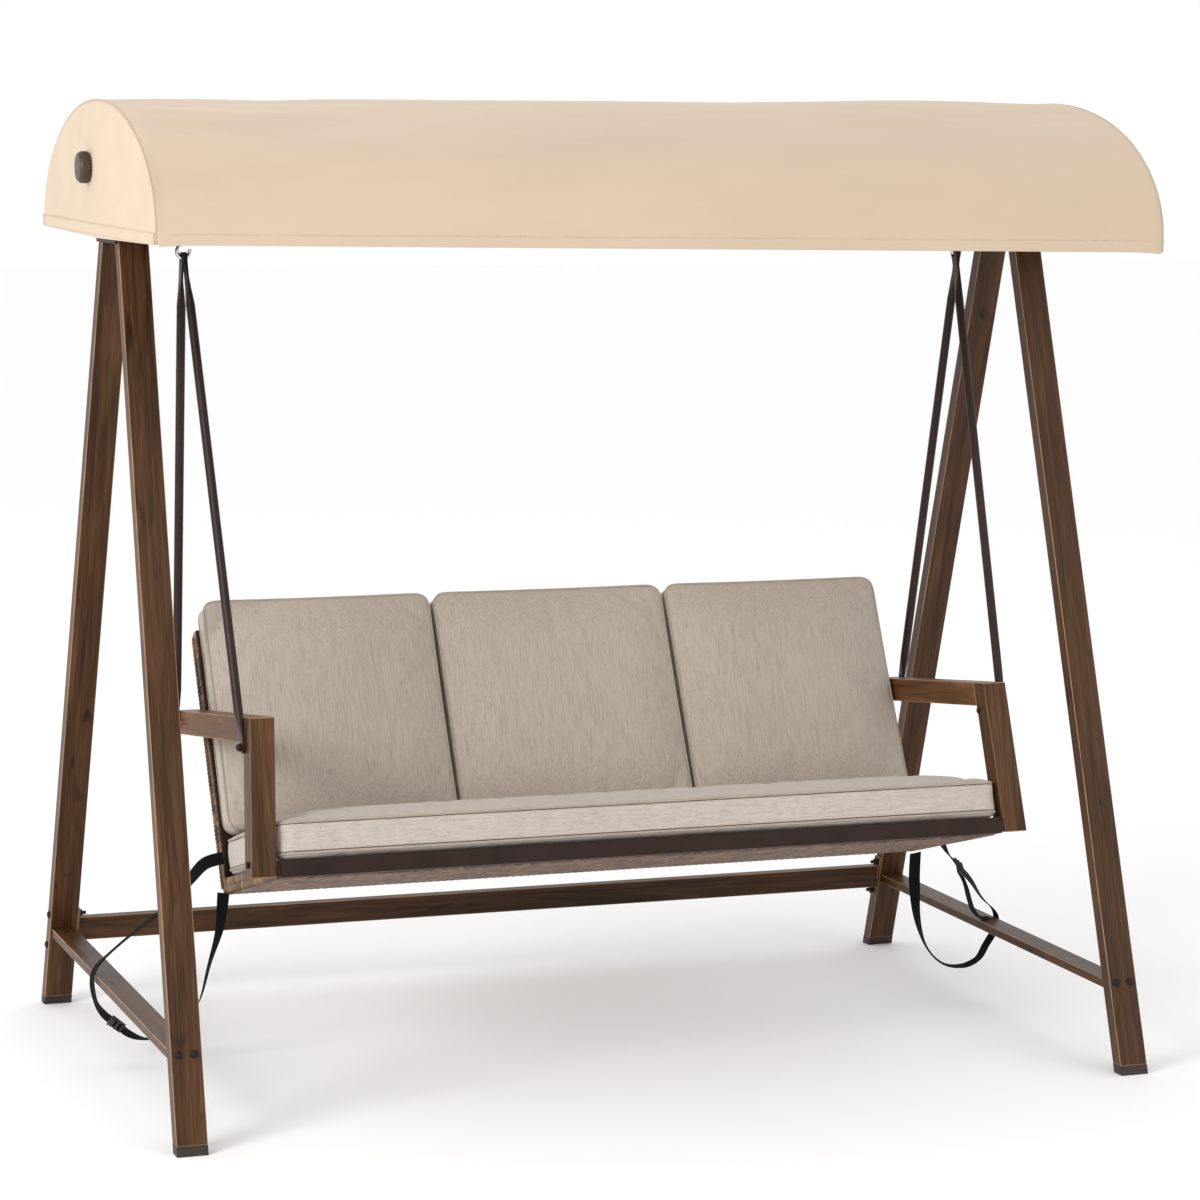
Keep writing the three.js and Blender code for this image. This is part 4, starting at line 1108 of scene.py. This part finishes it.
def knob_grips(looks):
    """Ribs round the rim of each clamp knob."""
    for hand, side in SIDES:
        low, high = (Vector(corner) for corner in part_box(f"canopy_knob_{hand}"))
        outer = high.x if side > 0 else -low.x
        radius = (high.z - low.z) / 2 - 0.4 * MM
        parts = []
        for y, z in circle(radius, 28):
            ends = [Vector((side * (outer - inset), y, KNOB_AXIS[1] + z)) for inset in (21 * MM, 7 * MM)]
            parts.append(swept(ends, circle(1.1 * MM, 6)))
        ribs = mesh_object(f"knob_ribs_{hand}", *joined(parts), looks["knob"], True)
        attach(ribs, f"knob_{hand}")


def dome(centre, out, radius, height):
    """Verts and faces of a low domed bolt head that stands on a face."""
    one = out.orthogonal().normalized()
    two = out.cross(one)
    profile = ((1.0, -0.3), (1.0, 0.35), (0.86, 0.72), (0.55, 0.94), (0.1, 1.0))
    return lofted([[centre + one * a + two * b + out * (height * rise)
                    for a, b in circle(radius * spread, 20)] for spread, rise in profile])


def arm_fittings(looks):
    """Bolt at the foot of each arm post, and the plastic plug in the rear end of each armrest."""
    for hand, side in SIDES:
        points = [SEAT.back @ v.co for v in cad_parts[f"arm_post_{hand}"].data.vertices]
        low, high = SEAT.box(f"arm_post_{hand}")
        foot = [p.y for p in points if p.z < low.z + 2 * MM]
        face = high.x if side > 0 else low.x
        up = 24 * MM
        centre = SEAT.world((face, (min(foot) + max(foot)) / 2 + up * POST_LEAN, low.z + up))
        head = dome(centre, Vector((side, 0, 0)), 6.5 * MM, 3.5 * MM)
        bolt = mesh_object(f"post_bolt_{hand}", *head, looks["steel"], True)
        attach(bolt, "swing_seat")
        low, high = SEAT.box(f"armrest_{hand}")
        middle = (low + high) / 2
        half = ((high.x - low.x) / 2 - 1.5 * MM, (high.z - low.z) / 2 - 1.5 * MM)
        path = [SEAT.world((middle.x, high.y + step * MM, middle.z)) for step in (-0.5, 1.0, 1.8)]
        section = [(a * half[0], b * half[1]) for a, b in blunt_square(0.92)]
        form = swept(path, section, side=[Vector((1, 0, 0))] * 3)
        plug = mesh_object(f"armrest_plug_{hand}", *form, looks["plastic"])
        round_edges(plug, SMALL_EDGE, 2)
        attach(plug, "swing_seat")


make_camera()
LOOKS = make_looks()
make_straps(LOOKS)
make_studio()
paint_frame(LOOKS)
mirrored_bolts(LOOKS)
arm_fittings(LOOKS)
knob_grips(LOOKS)
make_canopy(LOOKS)
make_wicker(LOOKS)
make_cushions(LOOKS)
